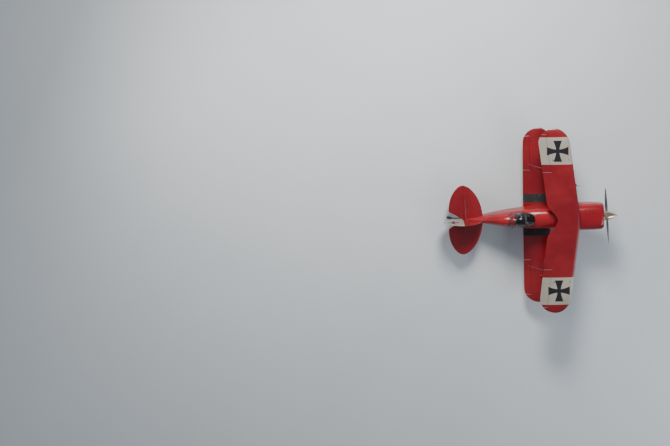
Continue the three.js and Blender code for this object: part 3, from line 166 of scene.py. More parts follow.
class Graph:
    """Adds nodes to a node tree."""

    def __init__(self, tree):
        self.tree = tree

    def node(self, kind, settings=None, inputs=None, output=0):
        """A node: its settings are set first, then its sockets get values or links."""
        made = self.tree.nodes.new(kind)
        for name, value in (settings or {}).items():
            setattr(made, name, value)
        for name, value in (inputs or {}).items():
            if isinstance(value, Value):
                self.tree.links.new(value.socket, made.inputs[name])
            else:
                made.inputs[name].default_value = value
        return Value(self, made.outputs[output])

    def math(self, operation, *values):
        return self.node("ShaderNodeMath", {"operation": operation}, dict(enumerate(values)))


class Finish(Graph):
    """A procedural material on the Principled shader, with its patterns in airframe metres."""

    def __init__(self, name, **surface):
        self.material = bpy.data.materials.new(name)
        self.material.use_nodes = True
        super().__init__(self.material.node_tree)
        self.tree.nodes.clear()
        self.shader = self.tree.nodes.new("ShaderNodeBsdfPrincipled")
        out = self.tree.nodes.new("ShaderNodeOutputMaterial")
        self.tree.links.new(self.shader.outputs[0], out.inputs["Surface"])
        for socket, value in surface.items():
            self.set(socket.replace("_", " "), value)
        places = self.node("ShaderNodeTexCoord", output="Object")
        back = AIR.to_3x3().inverted() * 0.001
        self.place = self.node("ShaderNodeMapping", inputs={
            "Vector": places, "Rotation": (0, PITCH, 0), "Location": tuple(back @ -AIR.translation)})
        self.x, self.y, self.z = (
            self.node("ShaderNodeSeparateXYZ", inputs={"Vector": self.place}, output=i) for i in range(3))

    def set(self, socket, value):
        if isinstance(value, Value):
            self.tree.links.new(value.socket, self.shader.inputs[socket])
        else:
            self.shader.inputs[socket].default_value = value
        return self

    def noise(self, scale, detail=3, stretch=(1, 1, 1), seed=0.0):
        """Noise from 0 to 1 at so many features a metre."""
        spread = self.node("ShaderNodeVectorMath", {"operation": "MULTIPLY_ADD"},
                           {0: self.place, 1: stretch, 2: (seed, seed, seed)})
        return self.node("ShaderNodeTexNoise", None,
                         {"Vector": spread, "Scale": scale, "Detail": detail, "Roughness": 0.55})

    def cells(self, feature, scale):
        return self.node("ShaderNodeTexVoronoi", {"feature": feature}, {"Vector": self.place, "Scale": scale})

    def ramp(self, value, low, high):
        """Rises smoothly from 0 at low to 1 at high; falls where low is the greater."""
        return self.node("ShaderNodeMapRange", {"interpolation_type": "SMOOTHSTEP"},
                         {"Value": value, "From Min": low, "From Max": high})

    def band(self, value, low, high):
        """1 between two values, else 0."""
        soft = 0.002
        return self.ramp(value, low - soft, low + soft) * self.ramp(value, high + soft, high - soft)

    def mix(self, mask, first, second):
        """The first colour where the mask is 0, the second where it is 1."""
        colours = {6: first, 7: second}
        return self.node("ShaderNodeMix", {"data_type": "RGBA"}, {
            0: mask, **{i: c if isinstance(c, Value) else (*c, 1) for i, c in colours.items()}}, output=2)

    def paint(self, mask, first, second):
        return self.set("Base Color", self.mix(mask, first, second))

    def rough(self, middle, spread, noise):
        """Roughness that wanders about a middle value."""
        return self.set("Roughness", noise * (2 * spread) + (middle - spread))

    def bump(self, height, distance):
        """Normals from a height of 0 to 1 that stands for so many metres."""
        return self.set("Normal", self.node("ShaderNodeBump", None,
                                            {"Height": height, "Distance": distance, "Strength": 1.0}))


# Forms

def between(rows, x):
    """The row at a station of a table, on a monotone cubic through each of its columns."""
    last = len(rows) - 1
    i = max(1, next((k for k, row in enumerate(rows) if row[0] <= x), last))

    def secant(k, c):
        return (rows[k + 1][c] - rows[k][c]) / (rows[k + 1][0] - rows[k][0])

    def slope(k, c):
        if k in (0, last):
            return secant(min(k, last - 1), c)
        before, after = secant(k - 1, c), secant(k, c)
        return 0 if before * after <= 0 else 2 * before * after / (before + after)

    a, b = rows[i - 1], rows[i]
    wide = b[0] - a[0]
    t = (x - a[0]) / wide
    blend = (2 * t**3 - 3 * t**2 + 1, t**3 - 2 * t**2 + t, 3 * t**2 - 2 * t**3, t**3 - t**2)
    return type(a)(*(blend[0] * a[c] + blend[1] * wide * slope(i - 1, c)
                     + blend[2] * b[c] + blend[3] * wide * slope(i, c) for c in range(len(a))))


def spread(first, last, step):
    """Evenly spaced values from first to last, about a step apart."""
    count = max(1, round(abs(last - first) / step))
    return [first + (last - first) * i / count for i in range(count + 1)]


def eased(count):
    """Shares from 0 to 1 that crowd together at both ends."""
    return [(1 - math.cos(math.pi * i / count)) / 2 for i in range(count + 1)]


def circle(sides, radius=1.0):
    """Pairs round a circle."""
    return [(radius * math.cos(TAU * i / sides), radius * math.sin(TAU * i / sides)) for i in range(sides)]


def signed(value, power):
    return math.copysign(abs(value) ** power, value)


def bulge(row, above):
    """Reach and power of a cross-section's half above or below its waist."""
    return (row.top - row.waist, row.crown) if above else (row.waist - row.bottom, row.keel)


def rim_point(row, angle, inset=0):
    """A point of a cross-section: superellipses above and below its waist."""
    across, up = math.cos(angle), math.sin(angle)
    reach, power = bulge(row, up >= 0)
    return Vector((row.x, (row.half - inset) * signed(across, 2 / power),
                   row.waist + (reach - inset) * signed(up, 2 / power)))


def oval(row, inset=0, count=96):
    return [rim_point(row, TAU * i / count, inset) for i in range(count)]


class Form:
    """A mesh in airframe millimetres, with the cuts that shape it."""

    def __init__(self, source):
        if isinstance(source, bmesh.types.BMesh):
            self.mesh = bpy.data.meshes.new("form")
            source.to_mesh(self.mesh)
            source.free()
        else:
            self.mesh = source

    def combined(self, operation, *others):
        base = shown(self.mesh.copy(), "base")
        tools = [shown(other.mesh, "tool") for other in others]
        for tool in tools:
            cut = base.modifiers.new("cut", "BOOLEAN")
            cut.operation, cut.solver, cut.object = operation, "MANIFOLD", tool
        return Form(evaluated(base, tools))

    minus = partialmethod(combined, "DIFFERENCE")
    plus = partialmethod(combined, "UNION")
    within = partialmethod(combined, "INTERSECT")

    def turned(self, matrix):
        mesh = self.mesh.copy()
        mesh.transform(matrix)
        return Form(mesh)

    def moved(self, *offset):
        return self.turned(Matrix.Translation(offset))

    def rounded(self, width, segments=2):
        """The form with its sharp edges softened."""
        base = shown(self.mesh.copy(), "base")
        bevel = base.modifiers.new("bevel", "BEVEL")
        bevel.width, bevel.segments, bevel.angle_limit = width, segments, math.radians(40)
        bevel.miter_outer = "MITER_ARC"
        return Form(evaluated(base))


def shown(mesh, name):
    made = bpy.data.objects.new(name, mesh)
    bpy.context.scene.collection.objects.link(made)
    return made


def evaluated(base, tools=()):
    """The plain mesh that an object's modifiers leave; the object and its tools are removed."""
    graph = bpy.context.evaluated_depsgraph_get()
    graph.update()
    mesh = bpy.data.meshes.new_from_object(base.evaluated_get(graph), depsgraph=graph)
    for used in (base, *tools):
        bpy.data.objects.remove(used)
    return mesh


def loft(rings, caps=True):
    """Skins rings of equal length and closes both ends with a fan."""
    skin = bmesh.new()
    rows = [[skin.verts.new(p) for p in ring] for ring in rings]
    count = len(rows[0])
    for a, b in zip(rows, rows[1:]):
        for i in range(count):
            j = (i + 1) % count
            skin.faces.new((a[i], a[j], b[j], b[i]))
    if caps:
        for ring in (rows[0], rows[-1]):
            middle = skin.verts.new(sum((v.co for v in ring), Vector()) / count)
            for i in range(count):
                skin.faces.new((middle, ring[i], ring[(i + 1) % count]))
    bmesh.ops.remove_doubles(skin, verts=skin.verts, dist=0.005)
    bmesh.ops.recalc_face_normals(skin, faces=skin.faces)
    return Form(skin)


def box(x0, x1, y0, y1, z0, z1):
    return loft([[Vector((x, y, z)) for y, z in ((y0, z0), (y1, z0), (y1, z1), (y0, z1))] for x in (x0, x1)])


def rod(start, end, radius, sides=20, stretch=1.0, end_radius=None):
    """A round or oval bar between two points; the oval's long axis points along the airframe."""
    start, end = Vector(start), Vector(end)
    along = (end - start).normalized()
    wide = Vector((0, 1, 0)) if abs(along.x) > 0.95 else Vector((1, 0, 0))
    wide = (wide - along * wide.dot(along)).normalized()
    thin = along.cross(wide)
    sizes = ((start, radius), (end, radius if end_radius is None else end_radius))
    return loft([[at + wide * (stretch * a) + thin * b for a, b in circle(sides, r)] for at, r in sizes])


def smooth_path(points, steps=8):
    """A smooth path through a few points."""
    points = [Vector(p) for p in points]
    ends = [points[0] * 2 - points[1], *points, points[-1] * 2 - points[-2]]
    path = []
    for a, b, c, d in zip(ends, ends[1:], ends[2:], ends[3:]):
        for t in (i / steps for i in range(steps)):
            path.append(0.5 * (2 * b + (c - a) * t + (2 * a - 5 * b + 4 * c - d) * t**2
                               + (3 * b - a - 3 * c + d) * t**3))
    return [*path, points[-1]]


def turned_about(outline, axis, centre=(0, 0, 0), sides=48, closed=False):
    """A turned form from (along, radius) pairs about an axis; a closed outline makes a ring."""
    shift = "XYZ".index(axis)
    rings = [[Vector(centre) + Vector([(along, a, b)[(i - shift) % 3] for i in range(3)])
              for a, b in circle(sides, radius)] for along, radius in outline + outline[:closed]]
    return loft(rings, caps=not closed)


def upright(outline, x=0.0, y=0.0, sides=32):
    """A turned form from (height, radius) pairs about a vertical axis."""
    return turned_about(outline, "Z", (x, y, 0), sides)


def joined(forms):
    """Several forms in one mesh, each still closed in itself."""
    whole = bmesh.new()
    for form in forms:
        whole.from_mesh(form.mesh)
    return Form(whole)


def united(forms):
    return forms[0].plus(*forms[1:])


def seat_on(form, neighbour, direction):
    """Trims a form to its neighbour, with the seat gap along a direction."""
    return form.minus(neighbour, neighbour.moved(*(c * SEAT_GAP for c in direction)))


FORMS, TREES, FINISH = {}, {}, {}
SLOTS = {name: slot for slot, names in {
    "red_fabric": "fabric tail_fabric fin_fabric body_fabric",
    "red_shell": "shell rim hoop lamp",
    "red_strut": "strut",
    "white_fabric": "rudder_white",
    "steel": "steel bright wire bolt spring tube exhaust",
    "alloy": "alloy barrel",
    "cockpit": "black walk leather strap dial mark",
    "tyre": "rubber",
    "blade": "blade",
    "spinner": "spinner",
    "clear": "clear",
}.items() for name in names.split()}


def place(name, form, finishes, stands_for=None, body="airframe", slot=None, sort=None, crease=32):
    """Turns a form into the row frame and hands it to its body; sort gives each face its finish."""
    finishes = finishes.split()
    mesh = form.mesh.copy()
    mesh.name = name
    mesh.materials.clear()
    for finish in finishes:
        mesh.materials.append(FINISH[finish].material)
    if sort:
        for face in mesh.polygons:
            face.material_index = sort(face.center, face.normal)
    mesh.transform(AIR)
    mesh.polygons.foreach_set("use_smooth", [True] * len(mesh.polygons))
    mesh.set_sharp_from_angle(angle=math.radians(crease))
    made = shown(mesh, name)
    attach(made, body)
    slot or SLOTS[finishes[0]]
    if stands_for:
        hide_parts(stands_for)
    return made


# Geometry Nodes

class Growth(Graph):
    """A Geometry Nodes tree with named inputs that ends in realized mesh with its finish set."""

    def __init__(self, name, **inputs):
        super().__init__(bpy.data.node_groups.new(name, "GeometryNodeTree"))
        face = self.tree.interface
        face.new_socket("Source", in_out="INPUT", socket_type="NodeSocketGeometry")
        for label, (kind, value) in inputs.items():
            made = face.new_socket(label, in_out="INPUT", socket_type="NodeSocket" + kind)
            if value is not None:
                made.default_value = value
        face.new_socket("Result", in_out="OUTPUT", socket_type="NodeSocketGeometry")
        self.entry = self.tree.nodes.new("NodeGroupInput")

    def input(self, name):
        return Value(self, self.entry.outputs[name])

    def vector(self, **parts):
        return self.node("ShaderNodeCombineXYZ", inputs={name.upper(): value for name, value in parts.items()})

    def joined(self, geometries):
        whole = self.node("GeometryNodeJoinGeometry", inputs={0: geometries[0]})
        for other in geometries[1:]:
            self.tree.links.new(other.socket, whole.socket.node.inputs[0])
        return whole

    def set_on_points(self, instance):
        """Sets an instance on every point of the source, along the point's own normal, and ends the tree."""
        normal = self.node("GeometryNodeInputNamedAttribute", {"data_type": "FLOAT_VECTOR"}, {"Name": "out"})
        turn = self.node("FunctionNodeAlignRotationToVector", {"axis": "Z"}, {"Vector": normal})
        points = self.node("GeometryNodeMeshToPoints", inputs={"Mesh": self.input("Source")})
        return self.finish(self.node("GeometryNodeInstanceOnPoints", inputs={
            "Points": points, "Instance": instance, "Rotation": turn}))

    def finish(self, geometry):
        """Realizes the instances, sets the finish and ends the tree."""
        real = self.node("GeometryNodeRealizeInstances", inputs={0: geometry})
        dressed = self.node("GeometryNodeSetMaterial", inputs={"Geometry": real, "Material": self.input("Finish")})
        out = self.tree.nodes.new("NodeGroupOutput")
        self.tree.links.new(dressed.socket, out.inputs[0])
        return self

    def grow(self, source, finish, **values):
        """The form that the tree makes of a mesh in airframe millimetres."""
        carrier = shown(source, "carrier")
        made = carrier.modifiers.new(self.tree.name, "NODES")
        made.node_group = self.tree
        values["Finish"] = FINISH[finish].material
        for item in self.tree.interface.items_tree:
            if item.in_out == "INPUT" and item.name in values:
                made[item.identifier] = values[item.name]
        return Form(evaluated(carrier))


def swept_tree():
    """Sweeps an oval section along every chain of edges."""
    tree = Growth("Swept section", Width=("Float", 8.0), Thickness=("Float", 8.0),
                  Sides=("Int", 12), Finish=("Material", None))
    path = tree.node("GeometryNodeMeshToCurve", inputs={0: tree.input("Source")})
    section = tree.node("GeometryNodeCurvePrimitiveCircle", {"mode": "RADIUS"},
                        {"Resolution": tree.input("Sides"), "Radius": 0.5})
    sized = tree.node("GeometryNodeTransform", inputs={
        "Geometry": section, "Scale": tree.vector(x=tree.input("Width"), y=tree.input("Thickness"), z=1.0)})
    return tree.finish(tree.node("GeometryNodeCurveToMesh", inputs={
        "Curve": path, "Profile Curve": sized, "Fill Caps": True}))


def fastener_tree():
    """Sets a round head with a cross recess on every point."""
    tree = Growth("Fasteners", Radius=("Float", 4.0), Height=("Float", 1.6), Finish=("Material", None))
    radius, height = tree.input("Radius"), tree.input("Height")
    head = tree.node("GeometryNodeMeshCone", inputs={
        "Vertices": 12, "Radius Top": radius * 0.62, "Radius Bottom": radius, "Depth": height})
    arms = [tree.node("GeometryNodeMeshCube", inputs={
        "Size": tree.vector(x=radius * x, y=radius * y, z=height * 0.2)}) for x, y in ((0.95, 0.2), (0.2, 0.95))]
    lifted = tree.node("GeometryNodeTransform", inputs={
        "Geometry": tree.joined(arms), "Translation": tree.vector(z=height)})
    return tree.set_on_points(tree.joined([head, lifted]))


def fin_tree():
    """Stacks cooling fins on every point."""
    tree = Growth("Cooling fins", Fins=("Int", 14), Pitch=("Float", 6.8), Radius=("Float", 84.0),
                  Thickness=("Float", 2.4), Corners=("Int", 32), Twist=("Float", 0.0), Finish=("Material", None))
    plate = tree.node("GeometryNodeMeshCylinder", inputs={
        "Vertices": tree.input("Corners"), "Radius": tree.input("Radius"), "Depth": tree.input("Thickness")})
    turned = tree.node("GeometryNodeTransform", inputs={
        "Geometry": plate, "Rotation": tree.vector(z=tree.input("Twist"))})
    line = tree.node("GeometryNodeMeshLine", inputs={
        "Count": tree.input("Fins"), "Offset": tree.vector(z=tree.input("Pitch"))})
    return tree.set_on_points(tree.node("GeometryNodeRealizeInstances", inputs={
        0: tree.node("GeometryNodeInstanceOnPoints", inputs={"Points": line, "Instance": turned})}))


def spots(places):
    """Points with the way that each faces, from (point, outward) pairs."""
    mesh = bpy.data.meshes.new("spots")
    mesh.from_pydata([tuple(p) for p, _ in places], [], [])
    out = mesh.attributes.new("out", "FLOAT_VECTOR", "POINT")
    out.data.foreach_set("vector", [c for _, way in places for c in way])
    return mesh


def fasten(name, places, radius, height, body="airframe"):
    """Screw heads at (point, outward) pairs."""
    place(name, TREES["fasteners"].grow(spots(places), "bolt", Radius=radius, Height=height), "bolt",
          body=body, crease=25)


def tubes(name, paths, width, finish, sides=14, slot=None):
    """Tubes along paths."""
    mesh = bpy.data.meshes.new("paths")
    points, edges = [], []
    for path in paths:
        edges += [(len(points) + i, len(points) + i + 1) for i in range(len(path) - 1)]
        points += [tuple(p) for p in path]
    mesh.from_pydata(points, edges, [])
    form = TREES["swept"].grow(mesh, finish, Width=float(width), Thickness=float(width), Sides=sides)
    place(name, form, finish, slot=slot, crease=40)


# Finishes

def shade(colour, factor):
    return tuple(min(1, c * factor) for c in colour)


def cross_mask(finish, across, along, reach, waist, end):
    """A black cross whose arms flare towards straight ends, from distances to its middle."""
    def arm(main, side):
        flare = (main / reach) ** 1.7 * (end - waist) + waist
        return finish.ramp(main, reach + 0.002, reach - 0.002) * finish.ramp(side - flare, 0.002, -0.002)
    return finish.math("MAXIMUM", arm(across, along), arm(along, across))


def painted(name, colour, ribs=None, gloss=0.3):
    """Glossy paint with broad lighter patches and orange peel; on fabric, rib tapes with pinked edges show. The
    patches are partly uneven paint tone and partly painted reflection of sky glow.
    """
    finish = Finish(name, Specular_IOR_Level=0.32, Coat_Weight=0.2, Coat_Roughness=0.14)
    pale = colour[1] > 0.2
    # Broad patches: partly uneven paint tone, partly painted reflection of sky glow, which tints the lighter tone
    # orange on the reds
    light = shade(colour, 1.08) if pale else (colour[0] * 1.2, colour[1] * 1.9, colour[2] * 1.25)
    tone = finish.mix(finish.ramp(finish.noise(0.8, 3), 0.38, 0.66), shade(colour, 0.86), light)
    height = finish.noise(90, 2, seed=3) * 0.06
    if ribs:
        axis, pitch = ribs
        value = {"y": abs(finish.y), "x": finish.x, "z": finish.z}[axis]
        near = abs(value.math("WRAP", pitch / 2, -pitch / 2))
        pinked = (finish.x if axis != "x" else finish.z).math("PINGPONG", 0.004)
        tape = finish.ramp(near + pinked * 0.5, 0.028, 0.0255)
        stitch = finish.ramp(near, 0.004, 0.001) * finish.ramp(finish.x.math("PINGPONG", 0.03), 0.006, 0.002)
        weave = finish.x.math("PINGPONG", 0.0009) + finish.y.math("PINGPONG", 0.0009)
        height = height + tape * 0.5 + stitch * 0.4 + weave * 12
        tone = finish.mix(finish.band(near, 0.0245, 0.029) * 0.3, tone, shade(colour, 0.6))
    grime = finish.ramp(finish.noise(5.5, 6, seed=9), 0.62, 0.8)
    finish.tone = finish.mix(grime * 0.2, tone, shade(colour, 0.6))
    finish.rough(gloss, 0.06, finish.noise(11, 4, seed=5))
    return finish.bump(height, 0.0006).set("Base Color", finish.tone)


def wing_white(name, white, black):
    """White fabric panels of the upper wing, each with a black cross and a painted shade line along the aileron
    hinge.
    """
    finish = painted(name, white, ribs=("y", RIB_PITCH / 1000), gloss=0.34)
    across = abs(finish.x - CROSS[0] / 1000)
    along = abs(abs(finish.y) - CROSS[1] / 1000)
    mask = cross_mask(finish, across, along, 0.35, 0.053, 0.143) * finish.ramp(finish.z, 0.655, 0.657)
    # Painted shade: a dark band 16 mm wide along the aileron hinge line, where shade falls into the hinge gap
    slant = math.tan(math.radians(UPPER.sweep))
    line = (UPPER.leading - UPPER_AILERON.hinge + UPPER.straight * slant) / 1000
    hinge = finish.x + abs(finish.y) * slant - line
    tone = finish.mix(finish.band(hinge, -0.008, 0.008) * 0.55, finish.tone, (0.1, 0.1, 0.11))
    return finish.paint(mask, tone, black)


def rudder_white(name, white, black):
    """White rudder fabric with a small black cross on both sides."""
    finish = painted(name, white, ribs=("z", 0.2), gloss=0.34)
    mask = cross_mask(finish, abs(finish.x + 5.36), abs(finish.z - 0.6), 0.17, 0.032, 0.07)
    return finish.paint(mask, finish.tone, black)


def grit(name, colour):
    """Rough black walkway paint, worn grey where boots step."""
    finish = Finish(name)
    grain = finish.noise(900, 2)
    worn = finish.ramp(finish.noise(6, 5, seed=2), 0.5, 0.75)
    finish.paint(worn * 0.6, colour, (0.07, 0.068, 0.066))
    return finish.rough(0.86, 0.08, grain).bump(grain, 0.0012)


def metal(name, colour, rough=0.32, scale=60, stain=0.25, metallic=1.0, bump=0.0002):
    """Bare or cast metal with fine grain and faint stains."""
    finish = Finish(name, Metallic=metallic)
    grain = finish.noise(scale, 5)
    stains = finish.ramp(finish.noise(7, 5, seed=4), 0.5, 0.75)
    tone = finish.mix(grain, shade(colour, 0.82), shade(colour, 1.1))
    finish.paint(stains * stain, tone, shade(colour, 0.45))
    return finish.rough(rough, 0.08, grain).bump(grain, bump)


def spinner_metal(name, colour):
    """Polished metal with turning marks round the thrust line and a few rubbed patches."""
    finish = Finish(name, Metallic=1.0)
    marks = finish.math("SINE", finish.x * 420 + finish.noise(30, 3) * 6) * 0.5 + 0.5
    haze = finish.noise(9, 5, seed=7)
    finish.paint(haze, shade(colour, 0.86), colour)
    return finish.rough(0.15, 0.05, haze).bump(marks, 0.00004)


def blade_paint(name, colour):
    """Dark satin blade paint, nicked and rubbed to metal here and there."""
    finish = Finish(name)
    speck = finish.noise(140, 4)
    rubbed = finish.ramp(finish.noise(34, 6, seed=6), 0.66, 0.74) * 0.5
    paint = finish.mix(speck, shade(colour, 0.75), colour)
    finish.paint(rubbed, paint, (0.32, 0.32, 0.33))
    return finish.set("Metallic", rubbed).rough(0.4, 0.08, speck).bump(speck, 0.0002)


def plastic(name, colour, rough=0.6, grain=500, depth=0.0004):
    """Moulded or crackle-painted surface with a fine grain."""
    finish = Finish(name)
    cells = finish.cells("F1", grain)
    dust = finish.noise(8, 5, seed=1)
    finish.paint(dust, shade(colour, 0.75), tuple(c * 1.3 + 0.005 for c in colour))
    return finish.rough(rough, 0.1, dust).bump(cells, depth)


def rubber(name):
    """Black rubber with dust in its low parts and faint scuffs."""
    finish = Finish(name)
    dust = finish.ramp(finish.noise(14, 6), 0.45, 0.75)
    grain = finish.noise(420, 3)
    finish.paint(dust * 0.5, (0.013, 0.013, 0.014), (0.06, 0.056, 0.05))
    return finish.rough(0.82, 0.08, grain).bump(grain, 0.0006)


def leather(name, colour):
    """Grained leather, polished on its crowns."""
    finish = Finish(name, Sheen_Weight=0.15)
    cells = finish.cells("DISTANCE_TO_EDGE", 420.0)
    creases = finish.noise(26, 6, seed=8)
    finish.paint(creases, shade(colour, 0.6), shade(colour, 1.4))
    return finish.rough(0.52, 0.12, creases).bump(finish.ramp(cells, 0.0, 0.12) + creases * 0.8, 0.0006)


def webbing(name, colour):
    """Woven nylon strap: close diagonal ribs."""
    finish = Finish(name, Sheen_Weight=0.3)
    ribs = (finish.x + finish.z + finish.y).math("PINGPONG", 0.0014) * 700
    weave = finish.math("MAXIMUM", ribs, (finish.x - finish.z + finish.y).math("PINGPONG", 0.0011) * 900)
    finish.paint(weave, shade(colour, 0.6), colour)
    return finish.rough(0.8, 0.06, finish.noise(30)).bump(weave, 0.0006)


def clear(name):
    """Clear acrylic with fine polishing haze."""
    finish = Finish(name, Transmission_Weight=1.0, IOR=1.3)
    haze = finish.noise(13, 5)
    finish.paint(haze, (0.86, 0.9, 0.92), (0.93, 0.96, 0.97))
    return finish.rough(0.03, 0.02, haze)


def heated(name):
    """Exhaust steel, blued and browned by heat."""
    finish = Finish(name, Metallic=1.0)
    bands = finish.noise(16, 5, stretch=(1, 1, 2.5))
    finish.paint(bands, (0.22, 0.15, 0.1), (0.3, 0.29, 0.33))
    return finish.rough(0.45, 0.12, finish.noise(90, 4)).bump(finish.noise(120, 4), 0.0004)


def mix_finishes(colours):
    """Every finish of the aircraft, from the colours of the sidebar."""
    red, shell, white, black, blade = (tuple(getattr(colours, name)) for name in colours.__annotations__)
    rib = RIB_PITCH / 1000
    FINISH.update(
        fabric=painted("doped_red_fabric", red, ribs=("y", rib)),
        tail_fabric=painted("doped_red_tail_fabric", red, ribs=("y", 0.2)),
        fin_fabric=painted("doped_red_fin_fabric", red, ribs=("z", 0.2)),
        body_fabric=painted("doped_red_body_fabric", shell, ribs=("x", 0.62)),
        shell=painted("gloss_red_shell", shell, gloss=0.22),
        strut=painted("gloss_red_strut", red, gloss=0.25),
        wing_white=wing_white("doped_white_fabric", white, black),
        rudder_white=rudder_white("doped_white_rudder", white, black),
        walk=grit("black_walkway", (0.016, 0.015, 0.018)),
        steel=metal("streamline_steel", (0.62, 0.63, 0.64), 0.26, scale=90),
        # Painted light: the bright strips beside the aileron ends
        bright=metal("bare_edge_metal", (0.78, 0.77, 0.75), 0.4, scale=90, stain=0.1),
        # Painted shade: the bracing wires and their clevises are streamline steel darkened far below bare steel,
        # so they stay dim and unlit
        wire=metal("dark_wire", (0.11, 0.11, 0.115), 0.5, scale=90, metallic=0.8),
        bolt=metal("plated_bolt", (0.5, 0.49, 0.44), 0.36, scale=160),
        alloy=metal("cast_alloy", (0.38, 0.38, 0.37), 0.55, scale=130, stain=0.5, metallic=0.85, bump=0.0008),
        barrel=metal("dark_cylinder", (0.08, 0.08, 0.085), 0.5, scale=150, stain=0.4, metallic=0.6),
        spring=metal("spring_steel", (0.2, 0.2, 0.21), 0.45, scale=70, stain=0.5, metallic=0.9),
        spinner=spinner_metal("polished_pale_gold", (0.66, 0.51, 0.34)),
        blade=blade_paint("dark_blade_paint", blade),
        black=plastic("crackle_black", (0.022, 0.022, 0.024)),
        inside=plastic("inside_grey", (0.045, 0.048, 0.05), rough=0.7, grain=240),
        tube=painted("frame_tube_grey", (0.22, 0.24, 0.24), gloss=0.4),
        rubber=rubber("tyre_rubber"),
        leather=leather("black_leather", (0.028, 0.024, 0.022)),
        strap=webbing("blue_black_webbing", (0.05, 0.055, 0.085)),
        clear=clear("clear_acrylic"),
        exhaust=heated("heat_tinted_steel"),
        dial=plastic("dial_black", (0.008, 0.008, 0.009), rough=0.4, grain=900, depth=0.0001),
        mark=plastic("dial_mark_white", (0.7, 0.7, 0.66), rough=0.5, grain=900, depth=0.0001),
        rim=painted("cabin_rim_red", red, gloss=0.3),
        hoop=plastic("satin_black_hoop", (0.014, 0.014, 0.016), rough=0.62, grain=700, depth=0.0002),
        lamp=painted("lamp_lens_red", (0.5, 0.03, 0.02), gloss=0.12),
    )


# Body and glass

NOSE_STATIONS = (-436, -440, -446, -460, -472, -490, -512)
ROOM_FRONT, DECK_FRONT = -2060, FIREWALL + 50
ARCH_POWER, ARCH_STEPS = 0.9, 56
GLASS_BASE = 200  # height of the windscreen arches' feet, inside the body
CANOPY_HINGES = (-3120, -3440)
CANOPY_BASE, CANOPY_BAND, CANOPY_BOW, GLASS_WALL, FRAME_WALL = SILL + RUN_GAP, 58, 34, 6, 12
HINGE_Y, HINGE_Z, HINGE_PIN, HINGE_LUG, HINGE_WIDTH = -267, SILL + 16, 4, 11, 16


def body_form(front, rear, inset=0.0, step=36, ribbed=False):
    """The body between two stations; where it is fabric, its stringers stand out as faint ridges."""
    stations = {*spread(front, rear, step), *(row.x for row in BODY if rear < row.x < front)}
    if front >= NOSE:
        stations.update(x for x in NOSE_STATIONS if x < front)
    rings = []
    for x in sorted(stations, reverse=True):
        ring = oval(between(BODY, min(x, NOSE)), inset)
        fade = max(0, min(1, (-2200 - x) / 300, (x + 4980) / 300)) if ribbed else 0
        for i, p in enumerate(ring):
            p.x = x
            if fade and p.z < 260:
                ridge = max(0, 1 - abs((i % 6) - 3) / 1.2)
                ring[i] = p + Vector((0, p.y, p.z - 60)).normalized() * (3.5 * fade * ridge)
        rings.append(ring)
    return loft(rings)


def in_room(centre):
    """True for the inner faces of the fuselage's hollow."""
    if not BULKHEAD - 2 < centre.x < ROOM_FRONT + 2:
        return False
    row = between(BODY, centre.x)
    reach, power = bulge(row, centre.z > row.waist)
    half, reach = row.half - SHELL / 2, reach - SHELL / 2
    return (abs(centre.y) / half) ** power + (abs(centre.z - row.waist) / reach) ** power < 1


def arch(row, inset, base):
    """Half a superellipse standing on a height."""
    return [Vector((row.x, (row.half - inset) * signed(math.cos(a), ARCH_POWER),
                    base + (row.top - inset - base) * abs(math.sin(a)) ** ARCH_POWER))
            for a in (math.pi * i / ARCH_STEPS for i in range(ARCH_STEPS + 1))]


def arch_shell(front, rear, outset, inset, base):
    """A glass-line shell between two stations, open at both ends."""
    rows = [between(GLASS, x) for x in spread(front, rear, 24)]
    outer = loft([arch(row, -outset, base) for row in rows])
    hollow = [row._replace(x=row.x + 2 * (i == 0) - 2 * (i == len(rows) - 1)) for i, row in enumerate(rows)]
    return outer.minus(loft([arch(row, inset, base - 1) for row in hollow]))


def along_x(x0, x1, y, z, radius, sides=24):
    return rod((x0, y, z), (x1, y, z), radius, sides)


def canopy_lug(x):
    half = HINGE_WIDTH / 2
    eye = along_x(x - half, x + half, HINGE_Y, HINGE_Z, HINGE_LUG)
    foot = box(x - half, x + half, HINGE_Y - HINGE_LUG + 1, HINGE_Y + HINGE_LUG - 1, HINGE_Z - 110, HINGE_Z)
    return eye.plus(foot).minus(along_x(x - 50, x + 50, HINGE_Y, HINGE_Z, HINGE_PIN + 0.5))


def canopy_knuckle(x):
    near = HINGE_WIDTH / 2 + SEAT_GAP
    far = near + 12
    edge = -between(GLASS, x).half + 6
    parts = []
    for a, b in ((near, far), (-far, -near)):
        parts += [along_x(x + a, x + b, HINGE_Y, HINGE_Z, HINGE_LUG),
                  box(x + a, x + b, HINGE_Y, edge, HINGE_Z - 5, HINGE_Z + 9)]
    return united([*parts, along_x(x - far + 1, x + far - 1, HINGE_Y, HINGE_Z, HINGE_PIN)])


def skin_point(x, degrees, lift=0.0):
    """A point of the body's skin at a station and ring angle, and the way that it faces."""
    def at(x, degrees):
        return rim_point(between(BODY, x), math.radians(degrees))
    here = at(x, degrees)
    out = (at(x, degrees + 1) - at(x, degrees - 1)).cross(at(x - 4, degrees) - at(x + 4, degrees)).normalized()
    if out.dot(Vector((0, here.y, here.z - between(BODY, x).waist))) < 0:
        out.negate()
    return here + out * lift, out


def height_angle(x, z):
    """The ring angle at which the body's port skin has a height."""
    row = between(BODY, x)
    reach, power = bulge(row, z > row.waist)
    return math.degrees(math.asin(max(-1, min(1, signed((z - row.waist) / reach, power / 2)))))


def screw_rows(stations, heights):
    """Places for screws on both sides of the body at some heights."""
    return [skin_point(x, a) for x in stations for z in heights
            for a in (height_angle(x, z), 180 - height_angle(x, z))]


def lug_bar(centre, along, up, x0, x1):
    """A bar along the airframe; along and up are its half sizes."""
    return loft([[Vector((x, *(centre + along * a + up * b).yz)) for a, b in CORNERS] for x in (x0, x1)])


